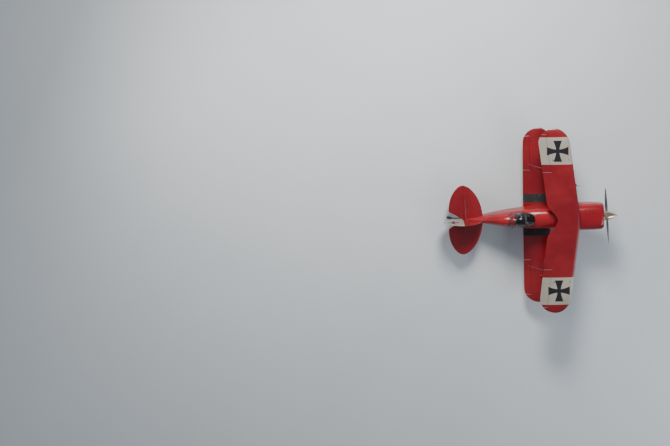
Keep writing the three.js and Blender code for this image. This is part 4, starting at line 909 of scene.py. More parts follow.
def hinge_lug(centre, along, up):
    """A lug standing back from a fixed tail surface, with its pin hole."""
    eye = rod(centre - along * 4, centre + along * 4, 9, 24)
    hole = rod(centre - along * 40, centre + along * 40, 4.5, 20)
    return eye.plus(lug_bar(centre, along * 4, up * 8, HINGE, HINGE + 46)).minus(hole)


class BIPLANE_OT_fuselage(bpy.types.Operator):
    """Fuselage with its hollow cockpit, canopy hinge lugs and lowest rudder lug"""
    bl_idname, bl_label = "biplane.fuselage", "Fuselage"

    def execute(self, context):
        form = FORMS["body"] = body_form(FIREWALL, HINGE + 26, ribbed=True)
        hull = form.minus(
            body_form(ROOM_FRONT, BULKHEAD, SHELL),
            box(PANEL - 25, BULKHEAD, -212, 212, 150, FAR),
            box(DECK_FRONT, PANEL, -FAR, FAR, DECK_SPLIT, FAR),
            box(BOW, DECK_END, -FAR, FAR, SILL, FAR))
        lugs = [canopy_lug(x) for x in CANOPY_HINGES]
        lugs.append(hinge_lug(Vector((HINGE, 0, RUDDER_LUGS[0])), ALONG_Z, ALONG_Y))

        def sort(centre, normal):
            return 1 if in_room(centre) else 2 * (centre.x > -2150)

        place("fuselage_skin", hull.plus(*lugs), "body_fabric inside shell", "fuselage", sort=sort)
        deck = form.within(box(DECK_FRONT, PANEL + SEAT_GAP, -FAR, FAR, DECK_SPLIT + SEAT_GAP, FAR))
        place("forward_deck_skin", deck, "shell", "forward_deck", slot="red_fabric")

        step, above = CANOPY_REAR - RUN_GAP, SILL + SEAT_GAP
        under = body_form(BULKHEAD, step - 1, 30).within(box(0, -2 * FAR, -FAR, FAR, above, FAR))
        aft = form.within(box(step, DECK_END + SEAT_GAP, -FAR, FAR, above, FAR))
        place("turtledeck_skin", under.plus(aft), "shell", "turtledeck", slot="red_fabric")

        edge = screw_rows(spread(FIREWALL - 60, PANEL + 30, 90), (DECK_SPLIT - 14, DECK_SPLIT + 14))
        edge += [skin_point(x, a) for x in (FIREWALL - 22, -2140) for a in spread(-170, 170, 13)]
        edge += screw_rows(spread(step - 20, DECK_END + 40, 95), (SILL + 14, SILL - 14))
        fasten("fuselage_screws", edge, context.scene.biplane_sizes.screw * 1000, 1.6)
        return {"FINISHED"}


class BIPLANE_OT_cowl(bpy.types.Operator):
    """Engine cowl in two halves with inlets, outlet, rolled lips and fasteners"""
    bl_idname, bl_label = "biplane.cowl", "Cowl"

    def execute(self, context):
        skin = body_form(NOSE, FIREWALL + SEAT_GAP).minus(body_form(NOSE - COWL_WALL, FIREWALL - 10, COWL_WALL))
        cuts = [along_x(0, -560, sign * 245, -20, 88, 64) for sign in SIGNS]
        cuts.append(along_x(0, -560, 0, 0, 78, 64))
        cuts.append(box(FIREWALL + 160, FIREWALL - 1, -210, 210, -FAR, -400))
        shell = skin.minus(*cuts)

        def sort(centre, normal):
            row = between(BODY, min(centre.x, NOSE))
            middle = Vector((centre.x, 0, row.waist))
            return int(normal.dot(centre - middle) < 0 and centre.x < NOSE - 2)

        for half, low, high in (("upper", SEAT_GAP, FAR), ("lower", -FAR, 0)):
            place(f"cowl_{half}_skin", shell.within(box(0, -FAR, -FAR, FAR, low, high)), "shell inside",
                  f"cowl_{half}", sort=sort)
        inlet = [(NOSE + x, r) for x, r in ((-9, 88), (-2, 97), (4, 96), (7, 92), (6, 87), (-1, 84), (-9, 84))]
        mouth = [(NOSE + x, r) for x, r in ((-8, 78), (0, 90), (4, 88), (5, 82), (-2, 75), (-8, 75))]
        lips = [turned_about(outline, "X", (0, y, z), 64, closed=True)
                for outline, y, z in ((inlet, 245, -20), (inlet, -245, -20), (mouth, 0, 0))]
        place("cowl_lips", joined(lips), "shell")
        rim = [skin_point(FIREWALL + 20, a) for a in spread(-174, 174, 12)]
        rim += screw_rows(spread(-520, FIREWALL + 60, 85), (18, -18))
        fasten("cowl_fasteners", rim, 7.0, 1.8)
        return {"FINISHED"}


class BIPLANE_OT_glass(bpy.types.Operator):
    """Windscreen and its bow, and the hinged bubble canopy with its frame"""
    bl_idname, bl_label = "biplane.glass", "Windscreen and canopy"

    def execute(self, context):
        front, rear, top = BOW - RUN_GAP / 2, CANOPY_REAR, CANOPY_BASE + CANOPY_BAND
        shell = arch_shell(front, rear, 1.5, FRAME_WALL, CANOPY_BASE)
        bands = box(0, -2 * FAR, -FAR, FAR, 0, top).plus(
            box(front - CANOPY_BOW, front + 5, -FAR, FAR, 0, FAR), box(rear - 5, rear + 22, -FAR, FAR, 0, FAR))
        knuckles = [canopy_knuckle(x) for x in CANOPY_HINGES]
        handle = box(-3040, -3110, 243, 266, SILL + 16, SILL + 27).rounded(4)

        def sort(centre, normal):
            return int(centre.z > top or normal.dot(centre - Vector((centre.x, 0, 400))) < 0)

        place("canopy_rim", shell.within(bands).plus(*knuckles, handle), "rim hoop", "canopy_frame", "canopy",
              sort=sort, crease=40)
        pane = box(front - CANOPY_BOW - SEAT_GAP, rear + 22 + SEAT_GAP, -FAR, FAR, top + SEAT_GAP, FAR)
        bubble = arch_shell(front, rear, 0, GLASS_WALL, CANOPY_BASE).within(pane)
        place("canopy_bubble", bubble, "clear", "canopy_glass", "canopy", crease=60)

        fixed = BOW + RUN_GAP / 2
        screen = arch_shell(PANEL, fixed + 24 + SEAT_GAP, 0, GLASS_WALL, GLASS_BASE)
        place("windscreen_pane", seat_on(screen, FORMS["body"], ALONG_Z), "clear", "windscreen", crease=60)
        bow = arch_shell(fixed + 24, fixed, 1.5, FRAME_WALL, GLASS_BASE)
        place("windscreen_hoop", seat_on(bow, FORMS["body"], ALONG_Z), "hoop", "windscreen_bow", crease=40)
        return {"FINISHED"}


# Wings

WingRow = namedtuple("WingRow", "y leading chord thick z")
WALK, WALK_FRONT = (410, 695), -2210  # side edges and front edge of the walkways on the lower wings
SHARES = eased(26)


def wing_edge(wing, y):
    """Where the leading edge lies at a span, before the tip rounds it."""
    return wing.leading - max(0, y - wing.straight) * math.tan(math.radians(wing.sweep))


def wing_row(wing, y):
    out = min(1, max(0, (y - wing.half + wing.tip) / wing.tip))
    full = math.sqrt(1 - out * out)
    notch = 0
    if y < wing.notch_half:
        notch = wing.notch_depth * math.cos(math.pi / 2 * y / wing.notch_half) ** 2
    return WingRow(y, wing_edge(wing, y) - TIP_APEX * wing.chord * (1 - full), wing.chord * full - notch,
                   wing.thick * full, wing.height + (y - wing.root) * math.tan(math.radians(wing.dihedral)))


def half_thick(row, share):
    """Half thickness of a symmetric aerofoil at a share of its chord."""
    curve = 0.2969 * math.sqrt(share) - 0.126 * share - 0.3516 * share**2 + 0.2843 * share**3 - 0.1036 * share**4
    return 5 * row.thick * curve + 1.5 * share


def sag(y, share):
    """How far the fabric sinks between two ribs, behind the sheeted leading edge."""
    return 1.8 * math.sin(math.pi * y / RIB_PITCH) ** 2 * max(0, min(1, (share - 0.1) / 0.1, (0.97 - share) / 0.1))


def wing_ring(wing, y, sign):
    row = wing_row(wing, y)

    def at(share, side):
        return Vector((row.leading - row.chord * share, sign * y,
                       row.z + side * (half_thick(row, share) - sag(y, share) * row.chord / wing.chord)))
    return [at(s, 1) for s in reversed(SHARES)] + [at(s, -1) for s in SHARES[1:]]


def wing_stations(wing, inner):
    tip, edges = wing.half - wing.tip, (*PANEL_EDGES, *WALK)
    bends = [wing.half - wing.tip * (1 - math.sin(math.pi / 2 * i / 22)) for i in range(1, 22)]
    stations = {*spread(inner, tip, RIB_PITCH / 4), *bends, wing.half - 0.4}
    stations = [y for y in stations if all(abs(y - edge) > 8 for edge in edges)]
    return sorted([*stations, *(edge for edge in edges if edge > inner)])


def flap_ring(hinge, side, radius, length, grow=0.0, sink=0.0):
    """A moving surface's section: a round nose about the hinge, then flat sides to the trailing edge."""
    reach, back = radius + grow, Vector((-length - grow * 20, 0, 0))
    edge = side * (reach if grow else 2)
    ring = [hinge + Vector((-reach * math.cos(a), 0, 0)) + side * (reach * math.sin(a))
            for a in (math.radians(d) for d in range(90, 271, 12))]

    def flat(start, end, way):
        return [start.lerp(end, i / 9) + side * (way * sink * math.sin(math.pi * i / 9)) for i in range(1, 9)]
    low, high = hinge + back - edge, hinge + back + edge
    return [*ring, *flat(ring[-1], low, 1), low, high, *flat(high, ring[0], -1)]


def aileron_hinge(aileron, y, sign):
    return Vector((wing_edge(aileron.wing, y) - aileron.hinge, sign * y, wing_row(aileron.wing, y).z))


def aileron_form(aileron, sign, grow=0.0):
    wing, rings = aileron.wing, []
    inside = [y for y in wing_stations(wing, aileron.inner + 20) if y < aileron.outer - 8]
    for y in [aileron.inner - grow, *inside, aileron.outer + grow]:
        row, hinge = wing_row(wing, y), aileron_hinge(aileron, y, sign)
        share = (row.leading - hinge.x) / row.chord
        sink = 0 if grow else 1.5 * math.sin(math.pi * y / RIB_PITCH) ** 2
        rings.append(flap_ring(hinge, ALONG_Z, half_thick(row, share), row.chord * (1 - share), grow, sink))
    return loft(rings)


def aileron_pins(aileron, sign, grow):
    reach = 26 if grow else 25
    return [rod(aileron_hinge(aileron, a, sign), aileron_hinge(aileron, b, sign), 5 + grow)
            for a, b in ((aileron.inner - reach, aileron.inner + 20), (aileron.outer - 20, aileron.outer + reach))]


def aileron_space(aileron, sign):
    """What a wing gives way to round its aileron."""
    return [aileron_form(aileron, sign, RUN_GAP), *aileron_pins(aileron, sign, 0.4)]


def link_pin(aileron, sign, up):
    return aileron_hinge(aileron, LINK_SPAN, sign) + Vector((-(50 if up > 0 else 97), 0, up * 36))


def link_bracket(aileron, sign, up, inner, outer):
    """A plate with a round end on an aileron, for the link's pin."""
    pin = link_pin(aileron, sign, up)
    a, b = (pin + ALONG_Y * (sign * y) for y in (inner, outer))
    return rod(a, b, 8, 28), box(pin.x - 8, pin.x + 8, a.y, b.y, pin.z, pin.z - up * 32)


def in_panel(centre, normal=None):
    return int(PANEL_EDGES[0] < abs(centre.y) < PANEL_EDGES[1])


def in_gap(aileron, centre):
    """True for the faces beside an aileron's gap, below the wing's surface."""
    y = abs(centre.y)
    if not aileron.inner - 40 < y < aileron.outer + 40:
        return False
    row, hinge = wing_row(aileron.wing, y), aileron_hinge(aileron, y, 1)
    share = (row.leading - centre.x) / row.chord
    return centre.x < hinge.x + 80 and abs(centre.z - row.z) < half_thick(row, min(1, share)) - 4


class BIPLANE_OT_wings(bpy.types.Operator):
    """Upper and lower wings with rib scallops, cut-out, white panels and walkways"""
    bl_idname, bl_label = "biplane.wings", "Wings"

    def execute(self, context):
        spans = wing_stations(UPPER, 0)
        rings = [wing_ring(UPPER, y, -1) for y in reversed(spans[1:])] + [wing_ring(UPPER, y, 1) for y in spans]
        FORMS["upper_wing"] = loft(rings).minus(*(f for sign in SIGNS for f in aileron_space(UPPER_AILERON, sign)))
        # Faces beside the aileron gaps take the black finish as painted shade in the gaps
        place("upper_wing_skin", FORMS["upper_wing"], "fabric wing_white black", "upper_wing",
              sort=lambda centre, normal: 2 if in_gap(UPPER_AILERON, centre) else in_panel(centre))

        def sort(centre, normal):
            # Painted shade: faces beside the aileron gaps take the black finish
            if in_gap(LOWER_AILERON, centre):
                return 2
            return int(WALK[0] < abs(centre.y) < WALK[1] and normal.z > 0.3 and centre.x < WALK_FRONT)

        for side, sign in SIDES:
            name = f"lower_wing_{side}"
            panel = loft([wing_ring(LOWER, y, sign) for y in wing_stations(LOWER, LOWER.root)])
            panel = panel.minus(*aileron_space(LOWER_AILERON, sign))
            FORMS[name] = seat_on(panel, FORMS["body"], ALONG_Y * sign)
            place(name + "_skin", FORMS[name], "fabric walk black", name, sort=sort)
        return {"FINISHED"}


class BIPLANE_OT_ailerons(bpy.types.Operator):
    """Four ailerons and the two rods that join them"""
    bl_idname, bl_label = "biplane.ailerons", "Ailerons"

    def execute(self, context):
        near, far = 4.3, 12.3
        for side, sign in SIDES:
            out = ALONG_Y * sign
            name = f"upper_aileron_{side}"
            upper = aileron_form(UPPER_AILERON, sign).plus(
                *aileron_pins(UPPER_AILERON, sign, 0), *link_bracket(UPPER_AILERON, sign, -1, -11, -3))
            place(name + "_skin", upper, "fabric wing_white", name, name, sort=in_panel)

            name = f"lower_aileron_{side}"
            pin, high = link_pin(LOWER_AILERON, sign, 1), link_pin(UPPER_AILERON, sign, -1)
            eye, foot = link_bracket(LOWER_AILERON, sign, 1, -4, 4)
            lower = aileron_form(LOWER_AILERON, sign).plus(
                *aileron_pins(LOWER_AILERON, sign, 0),
                eye.plus(foot).minus(rod(pin - ALONG_Y * 20, pin + ALONG_Y * 20, 3.9)))
            place(name + "_skin", lower, "fabric", name, name)

            name = f"aileron_link_{side}"
            bottom, top = (p + out * ((near + far) / 2) for p in (pin, high))
            parts = [rod(p + out * near, p + out * far, 8, 28) for p in (pin, high)]
            parts.append(rod(bottom, top, 4, 24, 2))
            parts += [rod(bottom.lerp(top, a), bottom.lerp(top, b), 5.6, 6, 1.5)
                      for a, b in ((0.02, 0.035), (0.965, 0.98))]
            parts.append(rod(pin - out * 6, pin + out * (near + 1), 3.5))
            parts.append(rod(pin + out * (far - 1), pin + out * (far + 3), 5.5, 6))
            place(f"aileron_rod_{side}", united(parts), "steel", name, name)
        return {"FINISHED"}


# Struts and wires

STRUT_TOP, STRUT_FOOT, STRUT_HALF, STRUT_THICK = (-1580, -2150), (-2200, -2750), 62, 30
PITOT_Y = 1140
CABANE = table("foot_x foot_y foot_z top_x top_y top_z", [
    (-1520, 345, 260, -1400, 310, 660),
    (-2010, 315, 280, -1900, 310, 660),
    (-1505, 340, 320, -1914, 310, 585),
])
WIRES = table("name x0 y0 z0 x1 y1 z1 radius stretch clevis inset", [
    ("flying_wire_front", -2215, 345, -470, -1607, STRUT_SPAN - 45, 650, 3.4, 1.7, 1.0, 6),
    ("flying_wire_rear", -2265, 345, -470, -2121, STRUT_SPAN - 45, 650, 3.4, 1.7, 1.0, 6),
    ("landing_wire", -2100, 300, 190, -2475, STRUT_SPAN - 45, -390, 3.4, 1.7, 1.0, 6),
    ("tail_wire_upper", -4950, 6, 700, -4960, 690, TAIL_HEIGHT, 2.8, 1.3, 0.7, 4),
    ("tail_wire_lower", -4860, 10, -60, -4960, 690, TAIL_HEIGHT, 2.8, 1.3, 0.7, 4),
])


def slim_ring(front, rear, y, z, thick):
    """A streamlined section level with the airframe, from its front and rear edges."""
    def depth(share):
        return thick * (1.1 * math.sqrt(share) * (1 - share) + 0.22 * share * (1 - share))
    shares = eased(14)
    outline = [(s, 1) for s in shares] + [(s, -1) for s in reversed(shares[1:-1])]
    return [Vector((front + (rear - front) * s, y + side * depth(s), z)) for s, side in outline]


def wire_line(row, sign):
    return Vector((row.x0, sign * row.y0, row.z0)), Vector((row.x1, sign * row.y1, row.z1))


def wire_seats(row, side, sign):
    """The forms that a wire meets, each with the direction of its seat gap."""
    out = ALONG_Y * sign
    if row.name.startswith("tail"):
        above = math.copysign(1, row.z0 - TAIL_HEIGHT)
        seats = [(FORMS[f"stabilizer_{side}"], ALONG_Z * above), (FORMS["fin"], out)]
    else:
        seats = [(FORMS["upper_wing"], -ALONG_Z), (FORMS[f"lower_wing_{side}"], ALONG_Z)]
    return [*seats, (FORMS["body"], out)]


def clevis(at, toward, size):
    """A wire's forked end with its pin and lock nut."""
    side = toward.cross(Vector((1, 0, 0))).normalized()

    def bar(start, end, radius, sides, stretch=1.0, end_radius=None):
        """A rod between two places given as (across, along) the wire."""
        a, b = (at + side * (across * size) + toward * (along * size) for across, along in (start, end))
        return rod(a, b, radius * size, sides, stretch, end_radius and end_radius * size)
    return united([
        bar((-4, 0), (-4, 26), 2.2, 12, 2.6), bar((4, 0), (4, 26), 2.2, 12, 2.6),
        bar((0, 24), (0, 44), 5.5, 18, end_radius=3.6), bar((-9, 0), (9, 0), 2.6, 14),
        bar((-7, 0), (-10, 0), 4.6, 6), bar((7, 0), (10, 0), 4.6, 6), bar((0, 46), (0, 52), 5, 6)])


class BIPLANE_OT_struts(bpy.types.Operator):
    """Interplane struts, cabane struts and the fittings at their ends"""
    bl_idname, bl_label = "biplane.struts", "Struts"

    def execute(self, context):
        top, lowest = FORMS["upper_wing"], wing_row(LOWER, STRUT_SPAN).z
        flare = (STRUT_TOP[0] - STRUT_TOP[1]) / 2 - STRUT_HALF
        low, high = (sum(ends) / 2 for ends in (STRUT_FOOT, STRUT_TOP))
        for side, sign in SIDES:
            rings = []
            for share in eased(40):
                x, half = low + (high - low) * share, STRUT_HALF + flare * abs(2 * share - 1) ** 9
                rings.append(slim_ring(x + half, x - half, sign * STRUT_SPAN,
                                       lowest + (UPPER.height - lowest) * share, STRUT_THICK))
            strut = seat_on(seat_on(loft(rings), top, -ALONG_Z), FORMS[f"lower_wing_{side}"], ALONG_Z)
            place(f"interplane_strut_{side}_fairing", strut, "strut", f"interplane_strut_{side}")
            bars = [rod((r.foot_x, sign * r.foot_y, r.foot_z), (r.top_x, sign * r.top_y, r.top_z), 12, 28, 2.2)
                    for r in CABANE]
            cabane = seat_on(seat_on(united(bars), top, -ALONG_Z), FORMS["body"], ALONG_Z)
            place(f"cabane_{side}_struts", cabane, "strut", f"cabane_struts_{side}")
        return {"FINISHED"}


class BIPLANE_OT_wires(bpy.types.Operator):
    """Streamlined flying, landing and tail wires, and the pitot tube"""
    bl_idname, bl_label = "biplane.wires", "Bracing wires"

    def execute(self, context):
        for side, sign in SIDES:
            for row in WIRES:
                wire = rod(*wire_line(row, sign), row.radius, 16, row.stretch)
                for form, direction in wire_seats(row, side, sign):
                    wire = seat_on(wire, form, direction)
                place(f"{row.name}_{side}_rod", wire, "wire", f"{row.name}_{side}", crease=50)
        edge = wing_row(UPPER, PITOT_Y).leading
        probe = along_x(edge - 40, edge + 70, PITOT_Y, UPPER.height, 8).plus(
            rod((edge + 68, PITOT_Y, UPPER.height), (edge + 120, PITOT_Y, UPPER.height), 6.5, 24, end_radius=5))
        place("pitot_probe", seat_on(probe, FORMS["upper_wing"], (1, 0, 0)), "black", "pitot_tube")
        return {"FINISHED"}


# Tail

STAB_HALF, STAB_CHORD, STAB_END = 1145, 650, 1141
ELEVATOR_LUGS, RUDDER_LUGS = (350, 900), (20, 450, 900)
RUDDER_TOP = 1116
# Half thickness of the fixed surfaces at shares of their chord, as a share of that at the hinge
FIXED_SECTION = ((0, 1), (0.1, 1.1), (0.22, 1.19), (0.34, 1.24), (0.45, 1.25), (0.56, 1.2), (0.68, 1.1),
                 (0.8, 0.92), (0.88, 0.74), (0.94, 0.55), (0.98, 0.33))


def round_off(share):
    return math.sqrt(max(0, 1 - share * share))


def stab_thick(y):
    return 8 + 14 * round_off(y / STAB_HALF)


def rudder_thick(z):
    return 9 + 11 * round_off((z - 300) / 860)


def fixed_ring(hinge, side, radius, chord, sink=0.0):
    """A thin section that ends at the hinge line, thickest halfway forward."""
    def at(forward, out):
        trough = sink * max(0, math.sin(math.pi * min(1, forward / 0.9)))
        return hinge + Vector((forward * chord, 0, 0)) + side * (out * radius - math.copysign(trough, out))
    return [*(at(f, o) for f, o in FIXED_SECTION), at(1, 0), *(at(f, -o) for f, o in reversed(FIXED_SECTION))]


def elevator_length(y):
    outboard = 460 * round_off(max(0, y - 330) / (STAB_HALF - 330)) ** 1.15
    return min((y - 30) * 1.84, outboard)


def tip_spread(first, last, step):
    """Stations that crowd together towards a round tip."""
    return sorted({*spread(first, last * 0.8, step),
                   *(last * (0.8 + 0.2 * math.sin(math.pi / 2 * i / 10)) for i in range(1, 10)), last})


def tail_sink(place):
    return 1.4 * math.sin(math.pi * place / 200) ** 2


def elevator_form(sign, grow=0.0):
    rings = []
    outboard = [y for y in tip_spread(150, STAB_END, 40) if y > 240]
    for y in sorted({50 - grow * 4, 150, 195, 240, 272, *outboard, STAB_END + grow * 2}):
        near = min(y, STAB_END)
        rings.append(flap_ring(Vector((HINGE, sign * y, TAIL_HEIGHT)), ALONG_Z, stab_thick(near),
                               max(elevator_length(near), 24), grow, 0 if grow else tail_sink(y)))
    return loft(rings)


def rudder_form(grow=0.0):
    rings = []
    for z in sorted({-75 - grow, *spread(-60, 430, 40), *spread(470, 900, 40), 940, 975, 1005, 1035, 1060, 1080,
                     1098, 1108, RUDDER_TOP + grow * 2}):
        share = round_off(min(z - 430, 686) / 690 if z > 430 else (430 - z) / 520)
        rings.append(flap_ring(Vector((HINGE, 0, z)), ALONG_Y, rudder_thick(z), 640 * share, grow,
                               0 if grow else tail_sink(z)))
    return loft(rings)


def slotted(form, centres, along, up):
    """A moving surface with a slot round each fixed lug, and the pin across it."""
    slots = [lug_bar(centre, along * 4.3, up * 60, HINGE - 16, HINGE + 60) for centre in centres]
    return form.minus(*slots).plus(*(rod(centre - along * 9, centre + along * 9, 4) for centre in centres))


class BIPLANE_OT_tail(bpy.types.Operator):
    """Fin, stabilizers, elevator and white rudder, hung on their lugs"""
    bl_idname, bl_label = "biplane.tail", "Tail"

    def execute(self, context):
        hull = FORMS["body"]
        fin = loft([fixed_ring(Vector((HINGE, 0, z)), ALONG_Y, rudder_thick(z), 650 * round_off((z - 200) / 920),
                               tail_sink(z)) for z in tip_spread(200, RUDDER_TOP, 40)])
        FORMS["fin"] = seat_on(fin.minus(rudder_form(RUN_GAP)), hull, ALONG_Z)
        centres = [Vector((HINGE, 0, z)) for z in RUDDER_LUGS]
        lugs = [hinge_lug(centre, ALONG_Z, ALONG_Y) for centre in centres[1:]]
        place("fin_skin", FORMS["fin"].plus(*lugs), "fin_fabric", "fin")
        notch = box(HINGE - 40, HINGE + 60, -60, 60, TAIL_HEIGHT - 26, TAIL_HEIGHT + 26)
        rudder = slotted(rudder_form().minus(notch), centres, ALONG_Z, ALONG_Y)
        place("rudder_skin", rudder, "rudder_white", "rudder", "rudder")

        halves = []
        for side, sign in SIDES:
            name = f"stabilizer_{side}"
            form = loft([fixed_ring(Vector((HINGE, sign * y, TAIL_HEIGHT)), ALONG_Z, stab_thick(y),
                                    STAB_CHORD * round_off(y / STAB_HALF) ** 1.2, tail_sink(y))
                         for y in tip_spread(34, STAB_END, 40)])
            FORMS[name] = seat_on(form.minus(elevator_form(sign, RUN_GAP)), hull, ALONG_Y * sign)
            centres = [Vector((HINGE, sign * y, TAIL_HEIGHT)) for y in ELEVATOR_LUGS]
            lugs = [hinge_lug(centre, ALONG_Y, ALONG_Z) for centre in centres]
            place(name + "_skin", FORMS[name].plus(*lugs), "tail_fabric", name)
            halves.append(slotted(elevator_form(sign), centres, ALONG_Y, ALONG_Z))
        tube = rod((HINGE, -60, TAIL_HEIGHT), (HINGE, 60, TAIL_HEIGHT), 12, 28)
        place("elevator_skin", united([*halves, tube]), "tail_fabric", "elevator", "elevator")
        return {"FINISHED"}


# Landing gear and propeller

def pant_form():
    stations = {*spread(PANT[0].x, PANT[-1].x, 16), 265, 259}
    return loft([oval(between(PANT, x), 0, 72) for x in sorted(stations, reverse=True)])


def by_tail_wheel(forward, port, up):
    """A place beside the tail wheel in level axes: forward of its axle, to port and above it."""
    return TAIL + Vector((forward * math.cos(PITCH) + up * math.sin(PITCH), port,
                          up * math.cos(PITCH) - forward * math.sin(PITCH)))


def wheel_centre(sign):
    return Vector((MAIN.x, sign * MAIN.y, MAIN.z))


def wheel_ring(half, centre, sides):
    """A wheel's ring from one half of its outline, as (radius, y) pairs."""
    outline = [(-y, r) for r, y in half] + [(y, r) for r, y in reversed(half)]
    return turned_about(outline, "Y", centre, sides, closed=True)


TREAD = ((78.3, 42), (90, 50), (112, 58), (134, 61.5), (150, 62), (162, 57), (171, 48), (176, 38),
         (178.4, 31), (174, 29.5), (174, 25.5), (179.4, 24), (180, 14), (175, 12.5), (175, 8.5), (180, 7))
DISC = ((20.5, 48), (34, 48), (38, 46), (40, 30), (46, 24), (62, 25), (66, 30), (72, 40), (78, 42))
TAIL_TYRE = ((7.4, 20), (16, 20), (18, 14), (30, 14), (34, 19), (42, 21.5), (60, 22), (68, 19), (72, 14),
             (74.2, 8), (75, 3))
WELL = ((-68, 0.01), (-68, 176), (-58, 184), (-46, 188), (46, 188), (58, 184), (68, 176), (68, 0.01))
HUB_BOLTS = 6


class BIPLANE_OT_gear(bpy.types.Operator):
    """Main legs, wheel pants, tyres and hubs"""
    bl_idname, bl_label = "biplane.gear", "Main gear"

    def execute(self, context):
        for side, sign in SIDES:
            wheel = wheel_centre(sign)
            rings = []
            for t in spread(0, 1, 0.05):
                swell = 10 * (1 - t) ** 6
                rings.append(slim_ring(-1340 - 108 * t + swell, -1850 + 284 * t - swell, sign * (285 + 397 * t),
                                       -440 - 572 * t, 34 - 6 * t + 8 * (1 - t) ** 8))
            leg = seat_on(loft(rings), FORMS["body"], -ALONG_Z).plus(
                rod((MAIN.x, sign * 682, MAIN.z), (MAIN.x, sign * 884, MAIN.z), 20, 32))
            place(f"gear_leg_{side}_fairing", leg, "strut", f"gear_leg_{side}", slot="red_gear")

            def sort(centre, normal):
                near = centre - wheel
                return int(abs(near.y) < 68.5 and math.hypot(near.x, near.z) < 188.5)

            bore = rod((0, -sign * 200, 0), (0, 0, 0), 20.4, 32)
            pant = pant_form().minus(turned_about(WELL, "Y", sides=72), bore).moved(*wheel)
            place(f"wheel_pant_{side}_skin", pant, "shell inside", f"wheel_pant_{side}", sort=sort)
            place(f"tyre_{side}_rubber", wheel_ring(TREAD, wheel, 96), "rubber",
                  f"tyre_{side}", f"main_wheel_{side}")
            bolts = []
            for x, z in circle(HUB_BOLTS, 54):
                at = wheel + Vector((x, 0, z))
                bolts.append(rod(at - ALONG_Y * 31, at + ALONG_Y * 31, 5, 6))
            place(f"wheel_hub_{side}_casting", wheel_ring(DISC, wheel, 72).plus(*bolts), "alloy",
                  f"wheel_hub_{side}", f"main_wheel_{side}")
        return {"FINISHED"}


class BIPLANE_OT_tailwheel(bpy.types.Operator):
    """Leaf spring, steerable fork and tail wheel"""
    bl_idname, bl_label = "biplane.tailwheel", "Tail wheel"

    def execute(self, context):
        hull = FORMS["body"]
        front, rear = (between(BODY, x).bottom - 6 for x in (-4740, -4960))
        boss = by_tail_wheel(TRAIL, 0, 116.5)
        route = [(-4740, front, 1), (-4850, (front + rear) / 2, 1), (-4960, rear + 1, 1), (-5060, -104, 0.95),
                 (-5130, -109, 0.9), (-5200, -112, 0.85), (boss.x, boss.z, 0.7)]

        def leaf(stations, half, drop, thick):
            return loft([[Vector((x, a * share * half, z - drop + b * thick)) for a, b in CORNERS]
                         for x, z, share in stations])

        def upright_bar(low, high, radius, sides):
            return rod(by_tail_wheel(TRAIL, 0, low), by_tail_wheel(TRAIL, 0, high), radius, sides)

        def axle_bar(start, end, radius, sides):
            return rod(by_tail_wheel(0, start, 0), by_tail_wheel(0, end, 0), radius, sides)

        spring = seat_on(leaf(route, 25, 0, 6), hull, -ALONG_Z).plus(
            leaf(route[:5], 24, 12.3, 5).minus(hull), upright_bar(97, 136, 20, 36))
        place("tail_leaf_spring", spring.minus(upright_bar(60, 180, 9.4, 28)), "spring", "tail_spring")

        top, half, reach, middle = 96.7, 34, TRAIL / 2 + 22, TRAIL / 2 - 4
        corners = ((-1, -1), (1, -1), (1, 1), (-1, 1))
        pieces = [loft([[by_tail_wheel(middle + a * reach, b * half, z) for a, b in corners]
                        for z in (top - 12, top)])]
        for sign in (-1, 1):
            pieces.append(loft([[by_tail_wheel(x, sign * y, z) for x, y in
                                 ((front, half), (front, half - 7), (back, half - 7), (back, half))]
                                for z, front, back in ((-14, 16, -16), (top - 4, TRAIL * 0.9, -18))]))
            pieces.append(axle_bar(sign * (half + 1), sign * (half + 7), 11, 6))
        pieces += [upright_bar(top - 6, 144, 9, 28), axle_bar(-half, half, 7, 24)]
        place("tailwheel_yoke", united(pieces), "spring", "tailwheel_fork", "tailwheel_swivel")

        def sort(centre, normal):
            return int(math.hypot(centre.x - TAIL.x, centre.z - TAIL.z) < 36)

        place("tailwheel_tyre", wheel_ring(TAIL_TYRE, TAIL, 64), "rubber alloy", "tailwheel", "tailwheel",
              sort=sort)
        return {"FINISHED"}


SPINNER_RADIUS, SPINNER_BASE, BLADE_PLANE, HUB_FRONT, HUB, BLADE_SIDES = 158, -410, -330, -262, 70, 40
BLADE = table("inward chord thick twist", [
    (-210, 84, 56, 52),
    (-320, 118, 34, 42),
    (-520, 142, 22, 31),
    (-760, 136, 14, 22),
    (-930, 104, 10, 17),
    (-1000, 62, 7, 15),
    (-1015, 26, 5, 15),
])


def blade_ring(row):
    """A blade's section: a thin aerofoil, twisted, at its radius along Y."""
    twist = math.radians(row.twist)
    ring = []
    for cosine, sine in circle(BLADE_SIDES):
        share = (1 - cosine) / 2
        out = math.copysign(row.thick * 1.32 * math.sqrt(share) * (1 - share) ** 0.8, sine)
        along = (0.42 - share) * row.chord
        ring.append(Vector((BLADE_PLANE + along * math.sin(twist) + out * math.cos(twist), -row.inward,
                            along * math.cos(twist) - out * math.sin(twist))))
    return ring


def capped(front, rear, radius, centre=(0, 0, 0), sides=48):
    """A cylinder along the airframe, about the thrust line unless told otherwise."""
    return turned_about([(front, 0.01), (front, radius), (rear, radius), (rear, 0.01)], "X", centre, sides)


